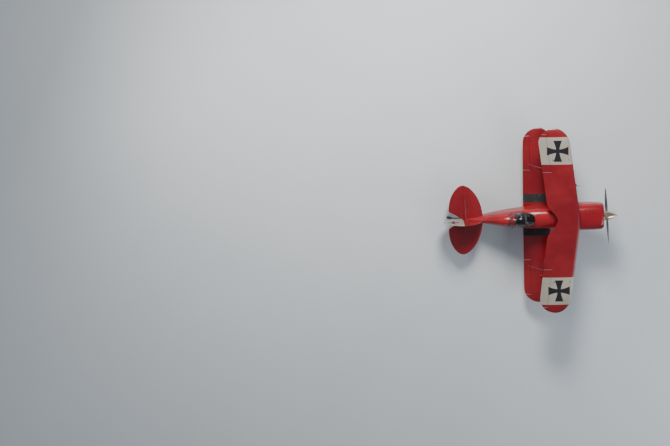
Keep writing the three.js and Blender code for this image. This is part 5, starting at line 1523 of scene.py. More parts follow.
class BIPLANE_OT_propeller(bpy.types.Operator):
    """Two-blade propeller and its polished spinner"""
    bl_idname, bl_label = "biplane.propeller", "Propeller"

    def execute(self, context):
        lead = math.radians(90 - BLADE[0].twist)
        rings = [[Vector((BLADE_PLANE + 36 * math.cos(a), y, 36 * math.sin(a)))
                  for a in (lead - TAU * i / BLADE_SIDES for i in range(BLADE_SIDES))] for y in (30, 120, 165)]
        rings += [blade_ring(between(BLADE, -radius))
                  for radius in (*spread(210, 930, 24), 950, 970, 985, 997, 1006, 1012, 1015)]
        blade = loft(rings)
        other = blade.turned(Matrix.Rotation(math.pi, 4, "X"))
        turn = Matrix.Rotation(math.radians(-39), 4, "X")
        blades = blade.plus(other, capped(HUB_FRONT, SPINNER_BASE + 2, HUB))
        place("propeller_blades", blades.turned(turn), "blade", "propeller", "propeller")

        curve = [(SPINNER_BASE * s, max(0.01, SPINNER_RADIUS * (1 - (1 - s) ** 1.9)))
                 for s in (0, 0.003, 0.01, *spread(0.03, 1, 0.035))]
        shell = turned_about([*curve, (SPINNER_BASE, 0.01)], "X", sides=96)
        shanks = rod((BLADE_PLANE, -200, 0), (BLADE_PLANE, 200, 0), 38.5, 48)
        shell = shell.minus(capped(HUB_FRONT + SEAT_GAP, SPINNER_BASE - 5, HUB + 0.5), shanks)
        place("spinner_shell", shell.turned(turn), "spinner", "spinner", "propeller")
        ring = [(turn @ Vector((SPINNER_BASE + 14, 156.6 * math.cos(a), 156.6 * math.sin(a))),
                 turn @ Vector((0.08, math.cos(a), math.sin(a))))
                for a in (TAU * (i + 0.5) / 12 for i in range(12)) if abs(math.cos(a)) < 0.96]
        fasten("spinner_screws", ring, 4.5, 1.4, "propeller")
        return {"FINISHED"}


# Cockpit

BOARD_REAR, BEZEL, DIAL = PANEL - 12, 38, 30
DIALS = ((-145, 300), (-145, 205), (-50, 315), (150, 300), (155, 205))
SEAT_PAN, FLOOR, STICK_X = -250, -500, -2860
BACK = Matrix.Translation((-3234, 0, SEAT_PAN)) @ Matrix.Rotation(-math.atan(60 / 450), 4, "Y")
PAD_GRAIN, PAD_PRESSURE, PAD_FILL, CHANNEL = 0.006, 4, 0.7, 0.007


def wall(x, z):
    """Half the width at a height between the frame tubes on the cockpit's walls."""
    row, inset = between(BODY, x), SHELL + 12
    reach, power = bulge(row, z > row.waist)
    return (row.half - inset) * max(0, 1 - (abs(z - row.waist) / (reach - inset)) ** power) ** (1 / power)


def on_deck(x, y, lift=0.0):
    """A point on the body's upper skin."""
    row = between(BODY, x)
    height = (row.top - row.waist) * (1 - (abs(y) / row.half) ** row.crown) ** (1 / row.crown)
    return Vector((x, y, row.waist + height + lift))


def glass_foot(x):
    """Half width of the windscreen where it meets the body's upper skin."""
    row, low, high = between(GLASS, x), 0.0, between(GLASS, x).half
    for _ in range(24):
        y = (low + high) / 2
        height = GLASS_BASE + (row.top - GLASS_BASE) * (1 - (y / row.half) ** (2 / ARCH_POWER)) ** (ARCH_POWER / 2)
        low, high = (y, high) if height > on_deck(x, y).z else (low, y)
    return low


def knob(centre, axis, radius):
    """A ball on a control's end, flattened where it faces along its axis."""
    outline = [(-radius * math.cos(math.pi * i / 12) * 0.9, max(0.01, radius * math.sin(math.pi * i / 12)))
               for i in range(13)]
    return turned_about(outline, axis, centre, 28)


def headings(path):
    """A path's direction at each of its points."""
    return [(path[min(i + 1, len(path) - 1)] - path[max(i - 1, 0)]).normalized() for i in range(len(path))]


def ribbon(path, width, thick=2.4, side=ALONG_Y):
    """A flat strap along a path, its width along a given side."""
    rings = []
    for p, along in zip(path, headings(path)):
        across = (side - along * side.dot(along)).normalized() * (width / 2)
        out = along.cross(across).normalized() * (thick / 2)
        rings.append([p + across * a + out * b for b, a in CORNERS])
    return loft(rings)


def bent_sheet(path, half, thick, lift):
    """A sheet along a path in the middle plane, its sides turned up between the ends."""
    rings = []
    across = [half * a for a in (-1, -0.98, -0.95, -0.91, -0.86, -0.8, 0, 0.8, 0.86, 0.91, 0.95, 0.98, 1)]
    for i, (p, along) in enumerate(zip(path, headings(path))):
        out = Vector((along.z, 0, -along.x))
        rise = lift * max(0.0, math.sin(math.pi * i / (len(path) - 1))) ** 0.35
        under, over = ([p + Vector((0, y, 0)) + out * (level + rise * (max(0, abs(y) / half - 0.8) / 0.2) ** 2)
                        for y in across] for level in (0, thick))
        rings.append(under + over[::-1])
    return loft(rings)


def cushion(name, form, rest, channels, turn=Matrix(), cap=8.0, depth=5.0):
    """Stuffed leather: swells by cloth simulation, lies flat where it rests, then gets its sewn channels."""
    pad = shown(form.turned(Matrix.Scale(0.001, 4)).mesh, name)
    voxels = pad.modifiers.new("voxels", "REMESH")
    voxels.mode, voxels.voxel_size = "VOXEL", PAD_GRAIN
    mesh = evaluated(pad)
    pad = shown(mesh.copy(), name)
    cloth = pad.modifiers.new("stuffing", "CLOTH")
    cloth.settings.use_pressure, cloth.settings.uniform_pressure_force = True, PAD_PRESSURE
    cloth.settings.effector_weights.gravity = 0
    for moment in range(1, 21):
        bpy.context.scene.frame_set(moment)
    swollen = evaluated(pad)
    bpy.context.scene.frame_set(1)
    for vertex, end in zip(mesh.vertices, swollen.vertices):
        move = end.co - vertex.co
        vertex.co += move * min(1, cap / 1000 / max(move.length, 1e-6))
    mesh.update()
    axis, level = rest
    across, lines = channels
    for vertex, normal in zip(mesh.vertices, [v.normal.copy() for v in mesh.vertices]):
        near = min(abs(vertex.co[across] - line / 1000) for line in lines)
        vertex.co -= normal * (depth / 1000 * math.exp(-(near / CHANNEL) ** 2))
        vertex.co[axis] = max(vertex.co[axis], level / 1000)
    smooth = shown(mesh, name)
    soft = smooth.modifiers.new("smooth", "SUBSURF")
    soft.levels = soft.render_levels = 1
    form = Form(evaluated(smooth)).turned(turn @ Matrix.Scale(1000, 4))
    place(name, form, "leather", crease=80)


class BIPLANE_OT_board(bpy.types.Operator):
    """Instrument board with its bezels, dials, needles, switches and radio face"""
    bl_idname, bl_label = "biplane.board", "Instrument board"

    def execute(self, context):
        rear, back = BOARD_REAR, Vector((-1, 0, 0))
        plate = body_form(PANEL - 4, rear, SHELL + SEAT_GAP, step=8).within(box(0, -FAR, -205, 205, 60, 400))
        place("instrument_board", plate, "black", "instrument_panel")
        bezel = [(rear + 1, DIAL), (rear + 1, BEZEL), (rear - 4, BEZEL),
                 (rear - 6.5, BEZEL - 3), (rear - 6, DIAL + 1)]
        bezels, faces, marks, screws = [], [], [], []
        for turn, (y, z) in enumerate(DIALS):
            bezels.append(turned_about(bezel, "X", (0, y, z), 40, closed=True))
            faces.append(capped(rear + 0.5, rear - 1.2, DIAL + 0.5, (0, y, z), 40))
            centre = Vector((rear - 2, y, z))
            for i, (a, b) in enumerate(circle(12)):
                out = Vector((0, a, b))
                marks.append(rod(centre + out * (22 if i % 3 else 18), centre + out * 27, 0.9, 6))
            way = Vector((0, math.cos(0.9 + turn * 1.7), math.sin(0.9 + turn * 1.7)))
            marks.append(rod(centre - way * 5, centre + way * 21, 1.5, 6, end_radius=0.4))
            screws += [(Vector((rear, y + a * 31, z + b * 31)), back) for a in (-1, 1) for b in (-1, 1)]
        place("dial_bezels", joined([*bezels, box(rear - 6, rear + 1, 8, 108, 190, 238).rounded(2)]), "black")
        place("dial_faces", joined([*faces, box(rear - 6.6, rear - 5, 32, 84, 202, 228)]), "dial")
        place("dial_marks", joined(marks), "mark")
        screws += [(Vector((rear, y, z)), back) for y in (-190, 190) for z in (90, 250)]
        fasten("board_screws", screws, 2.6, 1.2)
        switches = []
        for y in spread(-110, 110, 36):
            switches += [along_x(rear + 1, rear - 3, y, 128, 6, 6),
                         rod((rear - 2, y, 128), (rear - 18, y, 134), 2, 12, end_radius=3)]
        switches += [rod((rear - 5, y, 214), (rear - 18, y, 214), 7, 20, end_radius=6) for y in (20, 96)]
        place("board_switches", joined(switches), "steel")
        pulls = [along_x(rear + 1, rear - 26, y, 92, 3, 12) for y in (120, 160)]
        place("board_pulls", joined([*pulls, *(knob((rear - 32, y, 92), "X", 11) for y in (120, 160))]), "lamp")
        return {"FINISHED"}


class BIPLANE_OT_chair(bpy.types.Operator):
    """Pilot's chair: bent shell on a tube frame, stuffed leather pads, headrest and harness"""
    bl_idname, bl_label = "biplane.chair", "Pilot's chair"

    def execute(self, context):
        sheet = smooth_path([(-2990, 0, -272), (-3004, 0, -256), (-3044, 0, -250), (-3140, 0, -250),
                             (-3226, 0, -247), (-3262, 0, -225), (-3278, 0, -176), (-3301, 0, 0),
                             (-3322, 0, 160), (-3326, 0, 196), (-3316, 0, 207)], 6)
        place("chair_shell", bent_sheet(sheet, 188, 6, 24), "black", "pilot_chair", crease=50)
        paths = []
        for y in (-140, 140):
            paths += [
                [(-3030, y, -256), (-3050, y * 0.9, FLOOR + 14)], [(-3230, y, -256), (-3260, y * 0.9, FLOOR + 14)],
                [(-3044, y * 0.92, -460), (-3236, y, -262)], [(-3020, y, -258), (-3245, y, -258)]]
        paths += [[(x, -136, z), (x, 136, z)] for x, z in ((-3040, -300), (-3238, -300))]
        tubes("chair_frame", paths, 19, "tube")

        seat = box(-3018, -3234, -150, 150, -243, -216).rounded(10, 3)
        cushion("chair_cushion", seat, (2, -243), (0, (-3090, -3162)))
        back = box(-25, 0, -150, 150, 28, 432).rounded(10, 3)
        cushion("chair_back_pad", back, (0, -25), (1, (-90, -30, 30, 90)), BACK)
        head = box(-3328, -3302, -78, 78, 352, 436).rounded(11, 3)
        cushion("headrest_pad", head, (0, -3328), (1, (-300, 300)), cap=9, depth=0)

        straps, buckles = [], []
        quarter = math.pi / 2
        turns = (BACK.to_3x3().to_4x4() @ Matrix.Rotation(quarter, 4, "Y"), Matrix.Rotation(quarter, 4, "Z"))
        for side in (-1, 1):
            shoulder = [(-3326, side * 44, 222), (-3306, side * 46, 224)]
            shoulder += [BACK @ Vector((out, side * y, height)) for out, y, height in (
                (10, 50, 440), (13, 54, 380), (14, 56, 250), (14, 52, 120), (16, 44, 60))]
            shoulder += [(-3200, side * 34, -199), (-3150, side * 16, -199), (-3122, side * 6, -198)]
            lap = [(-3222, side * 176, -214), (-3196, side * 140, -202), (-3160, side * 80, -199),
                   (-3132, side * 20, -196)]
            straps += [ribbon(smooth_path(shoulder, 6), 46),
                       ribbon(smooth_path(lap, 6), 46, side=Vector((1, 0, 0.1)))]
            places = (BACK @ Vector((17, side * 56, 200)), Vector((-3172, side * 96, -196)))
            buckles += [box(-26, 26, -30, 30, -3, 3).rounded(2.5).turned(Matrix.Translation(at) @ turn)
                        for at, turn in zip(places, turns)]
        buckles.append(upright([(-198, 30), (-191, 31), (-186, 27), (-184, 10), (-182, 10), (-181, 0.01)], -3120))
        place("harness_straps", joined(straps), "strap", crease=50)
        place("harness_buckles", joined(buckles), "steel")
        return {"FINISHED"}


class BIPLANE_OT_controls(bpy.types.Operator):
    """Control stick with gaiter and grip, rudder pedals and throttle quadrant"""
    bl_idname, bl_label = "biplane.controls", "Controls"

    def execute(self, context):
        stem = upright([(FLOOR - 2, 11), (-60, 11), (-58, 9.5), (40, 9.5)], STICK_X)
        foot = box(STICK_X - 50, STICK_X + 50, -45, 45, FLOOR - 24, FLOOR + 22).rounded(5)
        room = body_form(ROOM_FRONT, BULKHEAD, SHELL + SEAT_GAP)
        place("stick_stem", stem.plus(foot).within(room), "tube", "control_stick", slot="cockpit")
        folds = [(FLOOR + 24 + i * 9, 40 - i * 2.6 + 4 * (i % 2)) for i in range(10)]
        folds = [(FLOOR + 20, 42), *folds, (FLOOR + 116, 12.5)]
        place("stick_gaiter", upright(folds, STICK_X), "leather", crease=80)
        swells = [(-72, 12), (-69, 15), *((-66 + i * 4, 15.6 + 1.6 * math.cos(i * TAU / 6)) for i in range(29)),
                  (50, 17.5), (55, 15), (57, 9)]
        place("stick_grip", upright(swells, STICK_X), "rubber", slot="cockpit", crease=60)
        place("stick_button", upright([(56, 6), (61, 6), (62, 4.5)], STICK_X), "lamp")

        plates = []
        for y in (-95, 95):
            plates.append(box(-2255, -2245, y - 38, y + 38, -470, -347).rounded(3))
            plates += [box(-2259, -2253, y - 32, y + 32, z, z + 5).rounded(1.5) for z in spread(-455, -365, 18)]
            plates += [rod((-2247, y + a, -345), (-2247, y + a, FLOOR - 2), 8, 16) for a in (-26, 26)]
        plates.append(rod((-2247, -150, -488), (-2247, 150, -488), 9, 18))
        place("rudder_pedals", joined(plates), "alloy")

        place("throttle_box", box(-2790, -2850, 232, 296, 130, 163).rounded(4), "black")
        ends = [Vector((-2820 + tilt, y, 230)) for y, tilt in ((238, 15), (254, 2), (270, -8))]
        place("throttle_levers", joined([rod((-2820, end.y, 156), end, 3.2, 12) for end in ends]), "steel")
        place("throttle_knobs", joined([knob(ends[0], "Y", 13), knob(ends[2], "Y", 9)]), "black")
        place("mixture_knob", knob(ends[1], "Y", 9), "lamp")
        return {"FINISHED"}


class BIPLANE_OT_cabin(bpy.types.Operator):
    """Frame tubes on the cockpit's walls, floor board, windscreen corners and the padded edges"""
    bl_idname, bl_label = "biplane.cabin", "Cabin"

    def execute(self, context):
        bays, levels = (-2110, -2420, -2720, -3010, -3315), (-400, 60)
        paths = []
        for sign in SIGNS:
            def post(x, z):
                return (x, sign * wall(x, z), z)
            paths += [[post(x, z) for x in spread(bays[0], bays[-1], 60)] for z in levels]
            paths += [[post(x, z) for z in spread(*levels, 60)] for x in bays]
            for i, (a, b) in enumerate(zip(bays, bays[1:])):
                low, high = levels if i % 2 else levels[::-1]
                paths.append([post(a + (b - a) * t, low + (high - low) * t) for t in spread(0, 1, 0.125)])
        tubes("cabin_tubes", paths, 18, "tube", sides=12)
        place("floor_board", box(-2290, -3290, -150, 150, FLOOR - 3, FLOOR + 3).rounded(1.5), "walk")
        fasten("floor_screws", [(Vector((x, y, FLOOR + 3)), ALONG_Z) for x in spread(-2310, -3270, 120)
                                for y in (-138, 138)], 4.0, 1.2)

        front = PANEL - 26
        side = [(x, min(212, glass_foot(x) - 12)) for x in spread(BOW + 12, front, 20)]
        end = side[-1][1] - 8
        rim = side + [(front, y) for y in spread(end, -end, 40)] + [(x, -y) for x, y in reversed(side)]
        tubes("coaming_roll", [[on_deck(x, y, -3) for x, y in rim]], 16, "leather")
        corners, screws = [], []
        for side in (-1, 1):
            rings = []
            for x in spread(PANEL + 6, -2850, 14):
                inner = glass_foot(min(x, PANEL - 24)) - 4
                across = [side * (inner + (252 - inner) * i / 16) for i in range(17)]
                rings.append([on_deck(x, y, 2.4) for y in across] + [on_deck(x, y, -3) for y in reversed(across)])
            corners.append(loft(rings))
            screws += [(on_deck(x, side * 246, 2.4), Vector((0, side * 0.7, 0.7)))
                       for x in spread(-2694, -2832, 46)]
        place("windscreen_corners", joined(corners), "rim", slot="red_fabric", crease=60)
        fasten("corner_screws", screws, 4.0, 1.2)
        sills = [[(x, side * 215, SILL - 3) for x in spread(BOW - 12, BULKHEAD + 6, 40)] for side in (-1, 1)]
        tubes("sill_bead", sills, 9, "rubber", slot="cockpit")
        return {"FINISHED"}


# Engine

CYLINDERS, CYLINDER_Z = (-690, -930), -20


class BIPLANE_OT_engine(bpy.types.Operator):
    """Flat four-cylinder engine with finned barrels, exhaust pipes, mount tubes and magnetos"""
    bl_idname, bl_label = "biplane.engine", "Engine"

    def execute(self, context):
        case = box(-560, -1080, -165, 165, -150, 130).rounded(12)
        sump = box(-620, -1020, -120, 120, -250, -140).rounded(18)
        crank = along_x(-555, SPINNER_BASE + 2 - SEAT_GAP, 0, 0, 45, 48)
        seam = box(-575, -1065, -4, 4, 120, 136).rounded(2)
        place("engine_case", case.plus(sump, crank, seam), "alloy", "engine")
        gear = turned_about([(-536, 60), (-536, 148), (-524, 148), (-524, 60)], "X", sides=96, closed=True)
        web = turned_about([(-534, 40), (-534, 66), (-526, 66), (-526, 40)], "X", sides=48, closed=True)
        place("ring_gear", joined([gear, web]), "spring")

        cylinders = [(x, sign) for x in CYLINDERS for sign in SIGNS]
        barrels, heads = ([(Vector((x, sign * out, CYLINDER_Z)), ALONG_Y * sign) for x, sign in cylinders]
                          for out in (172, 282))
        place("barrel_fins", TREES["fins"].grow(spots(barrels), "barrel"), "barrel", crease=25)
        plates = TREES["fins"].grow(
            spots(heads), "alloy", Fins=8, Pitch=7.6, Radius=120.0, Corners=4, Twist=math.pi / 4)
        place("head_fins", plates, "alloy", crease=25)
        cores, covers, caps, bolts = [], [], [], []
        for x, sign in cylinders:
            cores += [rod((x, sign * 150, CYLINDER_Z), (x, sign * 280, CYLINDER_Z), 68, 40),
                      box(x - 68, x + 68, sign * 272, sign * 338, CYLINDER_Z - 70, CYLINDER_Z + 66)]
            covers.append(
                box(x - 74, x + 74, sign * 330, sign * 352, CYLINDER_Z - 44, CYLINDER_Z + 44).rounded(9, 3))
            plug = Vector((x + 30, sign * 296, CYLINDER_Z))
            caps += [rod(plug + ALONG_Z * (74 * way), plug + ALONG_Z * (108 * way), 9, 6) for way in SIGNS]
            bolts += [(Vector((x + a, sign * 352, CYLINDER_Z + b)), ALONG_Y * sign)
                      for a in (-62, 0, 62) for b in (-34, 34)]
        place("barrel_cores", joined(cores), "barrel")
        place("rocker_covers", joined(covers), "black")
        place("spark_plugs", joined(caps), "steel")
        bolts += [(Vector((x, side * 12, 133)), ALONG_Z) for x in spread(-600, -1040, 62) for side in (-1, 1)]
        fasten("engine_bolts", bolts, 6.0, 4.0)

        pipes, leads, intakes, mount = [], [], [], []
        for sign in SIGNS:
            for x in CYLINDERS:
                pipes.append(smooth_path([
                    (x, sign * 255, -78), (x - 8, sign * 246, -180), (x - 60, sign * 205, -300),
                    (-1120, sign * 160, -392), (-1190, sign * 150, -440), (-1215, sign * 142, -556)]))
                leads.append(smooth_path([
                    (x + 30, sign * 296, 88), (x + 10, sign * 250, 140), ((x - 1080) / 2, sign * 150, 160),
                    (-1110, sign * 60, 70)], 6))
                intakes.append(smooth_path([
                    (-820, sign * 100, -215), ((x - 820) / 2, sign * 190, -200), (x - 40, sign * 268, -120),
                    (x - 40, sign * 290, -85)]))
            for z, far, other in ((90, 150, -240), (-110, -240, 150)):
                mount += [[(-1082, y, z), (-1289, sign * 262, end)]
                          for y, end in ((sign * 130, far), (sign * 130, other), (-sign * 130, far))]
        tubes("exhaust_pipes", pipes, 46, "exhaust", sides=28)
        tubes("ignition_leads", leads, 8, "strap", sides=10)
        tubes("intake_pipes", intakes, 38, "alloy", sides=20)
        tubes("mount_tubes", mount, 22, "tube", sides=16)
        mouths = [rod((-1214, sign * 142.4, -550), (-1215.3, sign * 142, -557), 19, 24) for sign in SIGNS]
        place("exhaust_mouths", joined(mouths), "black")
        magnetos = []
        for y in (62, -62):
            caps = box(-1140, -1172, y - 34, y + 34, 12, 84).rounded(8)
            magnetos.append(along_x(-1080, -1150, y, 46, 38, 32).plus(caps))
        place("magnetos", joined([*magnetos, along_x(-1080, -1170, 0, -70, 44, 32).rounded(6)]), "black")
        pads = [along_x(-1076, -1090, sign * 130, z, 26, 24) for sign in SIGNS for z in (90, -110)]
        place("mount_pads", joined(pads), "rubber", slot="cockpit")
        return {"FINISHED"}


# Fittings

def wire_ends(start, end, forms, size, inset):
    """Clevises where a wire leaves the forms at its two ends."""
    middle = (start + end) / 2
    trees = [BVHTree.FromPolygons([v.co for v in form.mesh.vertices], [p.vertices for p in form.mesh.polygons])
             for form in forms]
    made = []
    for way in ((far - middle).normalized() for far in (start, end)):
        hits = [hit for hit in (tree.ray_cast(middle, way)[0] for tree in trees) if hit]
        if hits:
            nearest = min(hits, key=lambda hit: (hit - middle).length)
            made.append(clevis(nearest + way * inset, -way, size))
    return made


def skin_patch(x0, x1, a0, a1, thick):
    """A plate that lies on the body's skin between two stations and two ring angles."""
    return loft([[skin_point(x, a, -1)[0] for a in spread(a0, a1, 2)]
                 + [skin_point(x, a, thick)[0] for a in spread(a1, a0, 2)] for x in spread(x0, x1, 20)])


def top_of(wing, x, y, lift=0.0, side=1):
    """A point on a wing's upper or lower surface."""
    row = wing_row(wing, abs(y))
    return Vector((x, y, row.z + side * (half_thick(row, (row.leading - x) / row.chord) + lift)))


class BIPLANE_OT_fittings(bpy.types.Operator):
    """Wire clevises, strut bolts, pitot collar, inspection covers, and bright aileron end strips that paint the
    light seen through the aileron end gaps
    """
    bl_idname, bl_label = "biplane.fittings", "Wing and wire fittings"

    def execute(self, context):
        ends, bolts, covers, strips = [], [], [], []
        for side, sign in SIDES:
            for row in WIRES:
                forms = [form for form, _ in wire_seats(row, side, sign)]
                ends += wire_ends(*wire_line(row, sign), forms, row.clevis, row.inset)
            for back in (120, 634):
                top = top_of(UPPER, wing_row(UPPER, STRUT_SPAN).leading - back, sign * STRUT_SPAN)
                washer = [(top.z - 8, 19), (top.z + 1, 19), (top.z + 2, 17.5), (top.z + 2, 0.01)]
                bolts += [upright(washer, top.x, top.y, 28),
                          upright([(top.z, 8), (top.z + 5, 8), (top.z + 5, 0.01)], top.x, top.y, 6)]
            for wing, back, y in ((UPPER, 600, 1300), (UPPER, 600, 2080), (UPPER, 330, 900),
                                  (LOWER, 480, 1240), (LOWER, 480, 2060), (LOWER, 300, 760)):
                at = top_of(wing, wing_row(wing, y).leading - back, sign * y, 0, -1)
                outline = [(at.z + z, radius) for z, radius in (
                    (6, 48), (-1.2, 48), (-2, 46.5), (-2.4, 10), (-2.4, 0.01))]
                covers.append(upright(outline, at.x, at.y, 40))
            # Painted light: bright strips beside each aileron end stand for light seen through the end gaps
            for aileron in (UPPER_AILERON, LOWER_AILERON):
                for y in (aileron.inner - RUN_GAP - 4, aileron.outer + RUN_GAP + 4):
                    row, hinge = wing_row(aileron.wing, y), aileron_hinge(aileron, y, sign)
                    line = spread(hinge.x + 16, row.leading - row.chord + 8, 14)
                    strips += [ribbon([top_of(aileron.wing, x, sign * y, 0.4, surface) for x in line], 7, 2)
                               for surface in SIGNS]
        place("wire_clevises", joined(ends), "wire", crease=35)
        place("strut_bolts", joined(bolts), "barrel", slot="steel")
        place("inspection_covers", joined(covers), "strut")
        place("aileron_end_strips", joined(strips), "bright")
        edge = wing_row(UPPER, PITOT_Y).leading
        collar = [(edge + x, radius) for x, radius in ((-30, 7), (-30, 12.5), (14, 12.5), (18, 10), (18, 7))]
        place("pitot_collar", turned_about(collar, "X", (0, PITOT_Y, UPPER.height), 32, closed=True), "black")
        return {"FINISHED"}


class BIPLANE_OT_trimmings(bpy.types.Operator):
    """Filler cap, cowl door, wheel pant caps and screws, tail spring bolts and nuts"""
    bl_idname, bl_label = "biplane.trimmings", "Caps, door and bolts"

    def execute(self, context):
        top = between(BODY, -1640).top
        outline = [(top + z, radius) for z, radius in ((-7, 33), (3, 33), (6, 30), (6.5, 14), (6.5, 0.01))]
        cap = upright(outline, -1640, 0, 40)
        tab = box(-1662, -1618, -4, 4, top + 5, top + 7).rounded(1)
        place("filler_cap", joined([cap, tab]), "alloy")
        place("oil_door", skin_patch(-960, -1120, 52, 70, 1.6), "shell", crease=60)
        fasten("door_screws", [skin_point(x, a, 1.6) for x in (-972, -1108) for a in (54, 61, 68)], 4.5, 1.4)

        caps, screws, spring_bolts = [], [], []
        for sign in SIGNS:
            wheel = wheel_centre(sign)
            outline = [(sign * y, radius) for y, radius in (
                (98, 0.01), (98, 30), (112, 30), (116, 26), (117, 12), (117, 0.01))]
            caps.append(turned_about(outline, "Y", wheel, 40))
            screws += [(wheel + Vector((x, sign * 116.5, z)), ALONG_Y * sign) for x, z in circle(6, 20)]
            for x in (-60, 175, -330):
                row = between(PANT, x)
                for degrees in spread(-60, 60, 20):
                    at = rim_point(row, math.radians(degrees if sign > 0 else 180 - degrees))
                    reach = bulge(row, degrees >= 0)[0]
                    out = Vector((0, at.y / row.half**2, (at.z - row.waist) / reach**2)).normalized()
                    screws.append((wheel + at, out))
        place("pant_caps", joined(caps), "alloy")
        fasten("pant_screws", screws, 4.0, 1.3)
        for x in (-4775, -4890):
            level = between(BODY, x).bottom
            bolt = [(level - 40, 0.01), (level - 40, 9), (level - 16, 9), (level - 16, 0.01)]
            spring_bolts += [upright(bolt, x, y, 6) for y in (-14, 14)]
            spring_bolts.append(box(x - 16, x + 16, -32, 32, level - 34, level - 27).rounded(2))
        place("spring_bolts", joined(spring_bolts), "bolt")
        nut = rod(by_tail_wheel(TRAIL, 0, 137.5), by_tail_wheel(TRAIL, 0, 146), 14, 6)
        place("stem_nut", nut, "bolt", body="tailwheel_swivel")
        return {"FINISHED"}


# Stage

FLOOR_HALF = 90
LENS, SENSOR, VIEW_WIDTH = 400, 36, 21.775  # millimetres, millimetres and metres across the picture
VIEW_AIM = (-9.168, -0.25)  # metres right and up from the spinner's tip to the picture's middle


class BIPLANE_OT_stage(bpy.types.Operator):
    """Pale floor, soft studio light and the camera at the photograph's viewing angle"""
    bl_idname, bl_label = "biplane.stage", "Stage"

    def execute(self, context):
        scene = context.scene
        floor_finish = Finish("studio_floor", Roughness=0.85)
        floor_finish.paint(floor_finish.noise(0.35, 3), (0.52, 0.55, 0.58), (0.58, 0.6, 0.63))
        mesh = bpy.data.meshes.new("floor")
        mesh.from_pydata([(-FLOOR_HALF * a, -FLOOR_HALF * b, 0) for b, a in CORNERS], [], [(0, 1, 2, 3)])
        mesh.materials.append(floor_finish.material)
        shown(mesh, "studio_floor")

        world = bpy.data.worlds.new("studio")
        world.use_nodes = True
        back = world.node_tree.nodes["Background"]
        back.inputs["Color"].default_value = (0.8, 0.9, 1.0, 1)
        back.inputs["Strength"].default_value = 0.38
        scene.world = world
        for name, place_at, size, power, colour in (
                ("key", (-3, 12.5, 12), 5, 3800, (1.0, 0.97, 0.92)),
                ("fill", (10, -7, 9), 9, 900, (0.92, 0.96, 1.0)),
                ("rim", (-12, 6, 7), 5, 500, (1.0, 0.98, 0.95))):
            light = bpy.data.lights.new(name, "AREA")
            light.shape, light.size, light.energy, light.color = "DISK", size, power, colour
            lamp = bpy.data.objects.new(name, light)
            lamp.location = place_at
            lamp.rotation_euler = (ALONG_Z - lamp.location).to_track_quat("-Z", "Y").to_euler()
            lamp.visible_camera = False
            scene.collection.objects.link(lamp)

        # The photograph is a distant telephoto view from nearly straight above
        turn = AIR.to_3x3().normalized()
        right, up = turn @ Vector((0.999, -0.0157, 0.04)), turn @ Vector((0.0261, 0.978, -0.204))
        right.normalize()
        up = (up - right * up.dot(right)).normalized()
        aim = AIR.translation + right * VIEW_AIM[0] + up * VIEW_AIM[1]
        camera = bpy.data.cameras.new("camera")
        camera.lens, camera.sensor_width = LENS, SENSOR
        seat = bpy.data.objects.new("camera", camera)
        toward = right.cross(up)
        distance = VIEW_WIDTH * LENS / SENSOR
        turn = Matrix((right, up, toward)).transposed().to_4x4()
        seat.matrix_world = Matrix.Translation(aim + toward * distance) @ turn
        camera.clip_end = 600
        scene.collection.objects.link(seat)
        scene.camera = seat
        return {"FINISHED"}


# Sidebar and run

class BiplaneColours(bpy.types.PropertyGroup):
    """Colours of the finishes"""
    red: FloatVectorProperty(
        name="Fabric red", description="Red of the wings and tail",
        subtype="COLOR", default=(0.185, 0.0058, 0.0112), min=0, max=1)
    shell: FloatVectorProperty(
        name="Shell red", description="Red of the cowl, fuselage and wheel pants",
        subtype="COLOR", default=(0.256, 0.0068, 0.01313), min=0, max=1)
    white: FloatVectorProperty(
        name="White", description="White of the wing panels and rudder",
        subtype="COLOR", default=(0.325, 0.291, 0.243), min=0, max=1)
    black: FloatVectorProperty(
        name="Black", description="Black of the crosses",
        subtype="COLOR", default=(0.012, 0.011, 0.014), min=0, max=1)
    blade: FloatVectorProperty(
        name="Blade", description="Paint of the propeller blades",
        subtype="COLOR", default=(0.05, 0.055, 0.075), min=0, max=1)


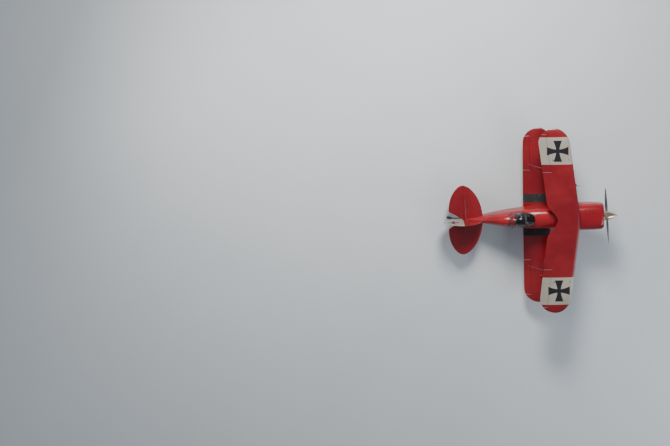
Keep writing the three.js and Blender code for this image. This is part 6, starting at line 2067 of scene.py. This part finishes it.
class BiplaneSizes(bpy.types.PropertyGroup):
    """Sizes that a user may change"""
    screw: FloatProperty(
        name="Screw head", description="Radius of the fuselage's screw heads",
        unit="LENGTH", default=0.005, min=0.002, max=0.01)


class BIPLANE_OT_finishes(bpy.types.Operator):
    """Makes every finish and the node trees that repeat small parts"""
    bl_idname, bl_label = "biplane.finishes", "Finishes"

    def execute(self, context):
        mix_finishes(context.scene.biplane_colours)
        TREES.update(swept=swept_tree(), fasteners=fastener_tree(), fins=fin_tree())
        return {"FINISHED"}


STEPS = (
    BIPLANE_OT_finishes, BIPLANE_OT_fuselage, BIPLANE_OT_cowl, BIPLANE_OT_glass, BIPLANE_OT_wings,
    BIPLANE_OT_ailerons, BIPLANE_OT_tail, BIPLANE_OT_struts, BIPLANE_OT_wires, BIPLANE_OT_gear,
    BIPLANE_OT_tailwheel, BIPLANE_OT_propeller, BIPLANE_OT_engine, BIPLANE_OT_board,
    BIPLANE_OT_chair, BIPLANE_OT_controls, BIPLANE_OT_cabin, BIPLANE_OT_fittings,
    BIPLANE_OT_trimmings, BIPLANE_OT_stage,
)


class BIPLANE_PT_parts(bpy.types.Panel):
    """Lists the aircraft's parts, colours and sizes"""
    bl_idname, bl_label = "BIPLANE_PT_parts", "Biplane"
    bl_space_type, bl_region_type, bl_category = "VIEW_3D", "UI", "Biplane"

    def draw(self, context):
        column = self.layout.column()
        for group in (context.scene.biplane_colours, context.scene.biplane_sizes):
            for name in group.__annotations__:
                column.prop(group, name)
        for step in STEPS:
            column.operator(step.bl_idname)


CLASSES = (BiplaneColours, BiplaneSizes, *STEPS, BIPLANE_PT_parts)


def register():
    for cls in CLASSES:
        register_class(cls)
    bpy.types.Scene.biplane_colours = PointerProperty(type=BiplaneColours)
    bpy.types.Scene.biplane_sizes = PointerProperty(type=BiplaneSizes)


def unregister():
    del bpy.types.Scene.biplane_colours, bpy.types.Scene.biplane_sizes
    for cls in reversed(CLASSES):
        unregister_class(cls)


def main():
    register()
    for step in STEPS:
        group, name = step.bl_idname.split(".")
        getattr(getattr(bpy.ops, group), name)()
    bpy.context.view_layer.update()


if __name__ == "__main__":
    main()
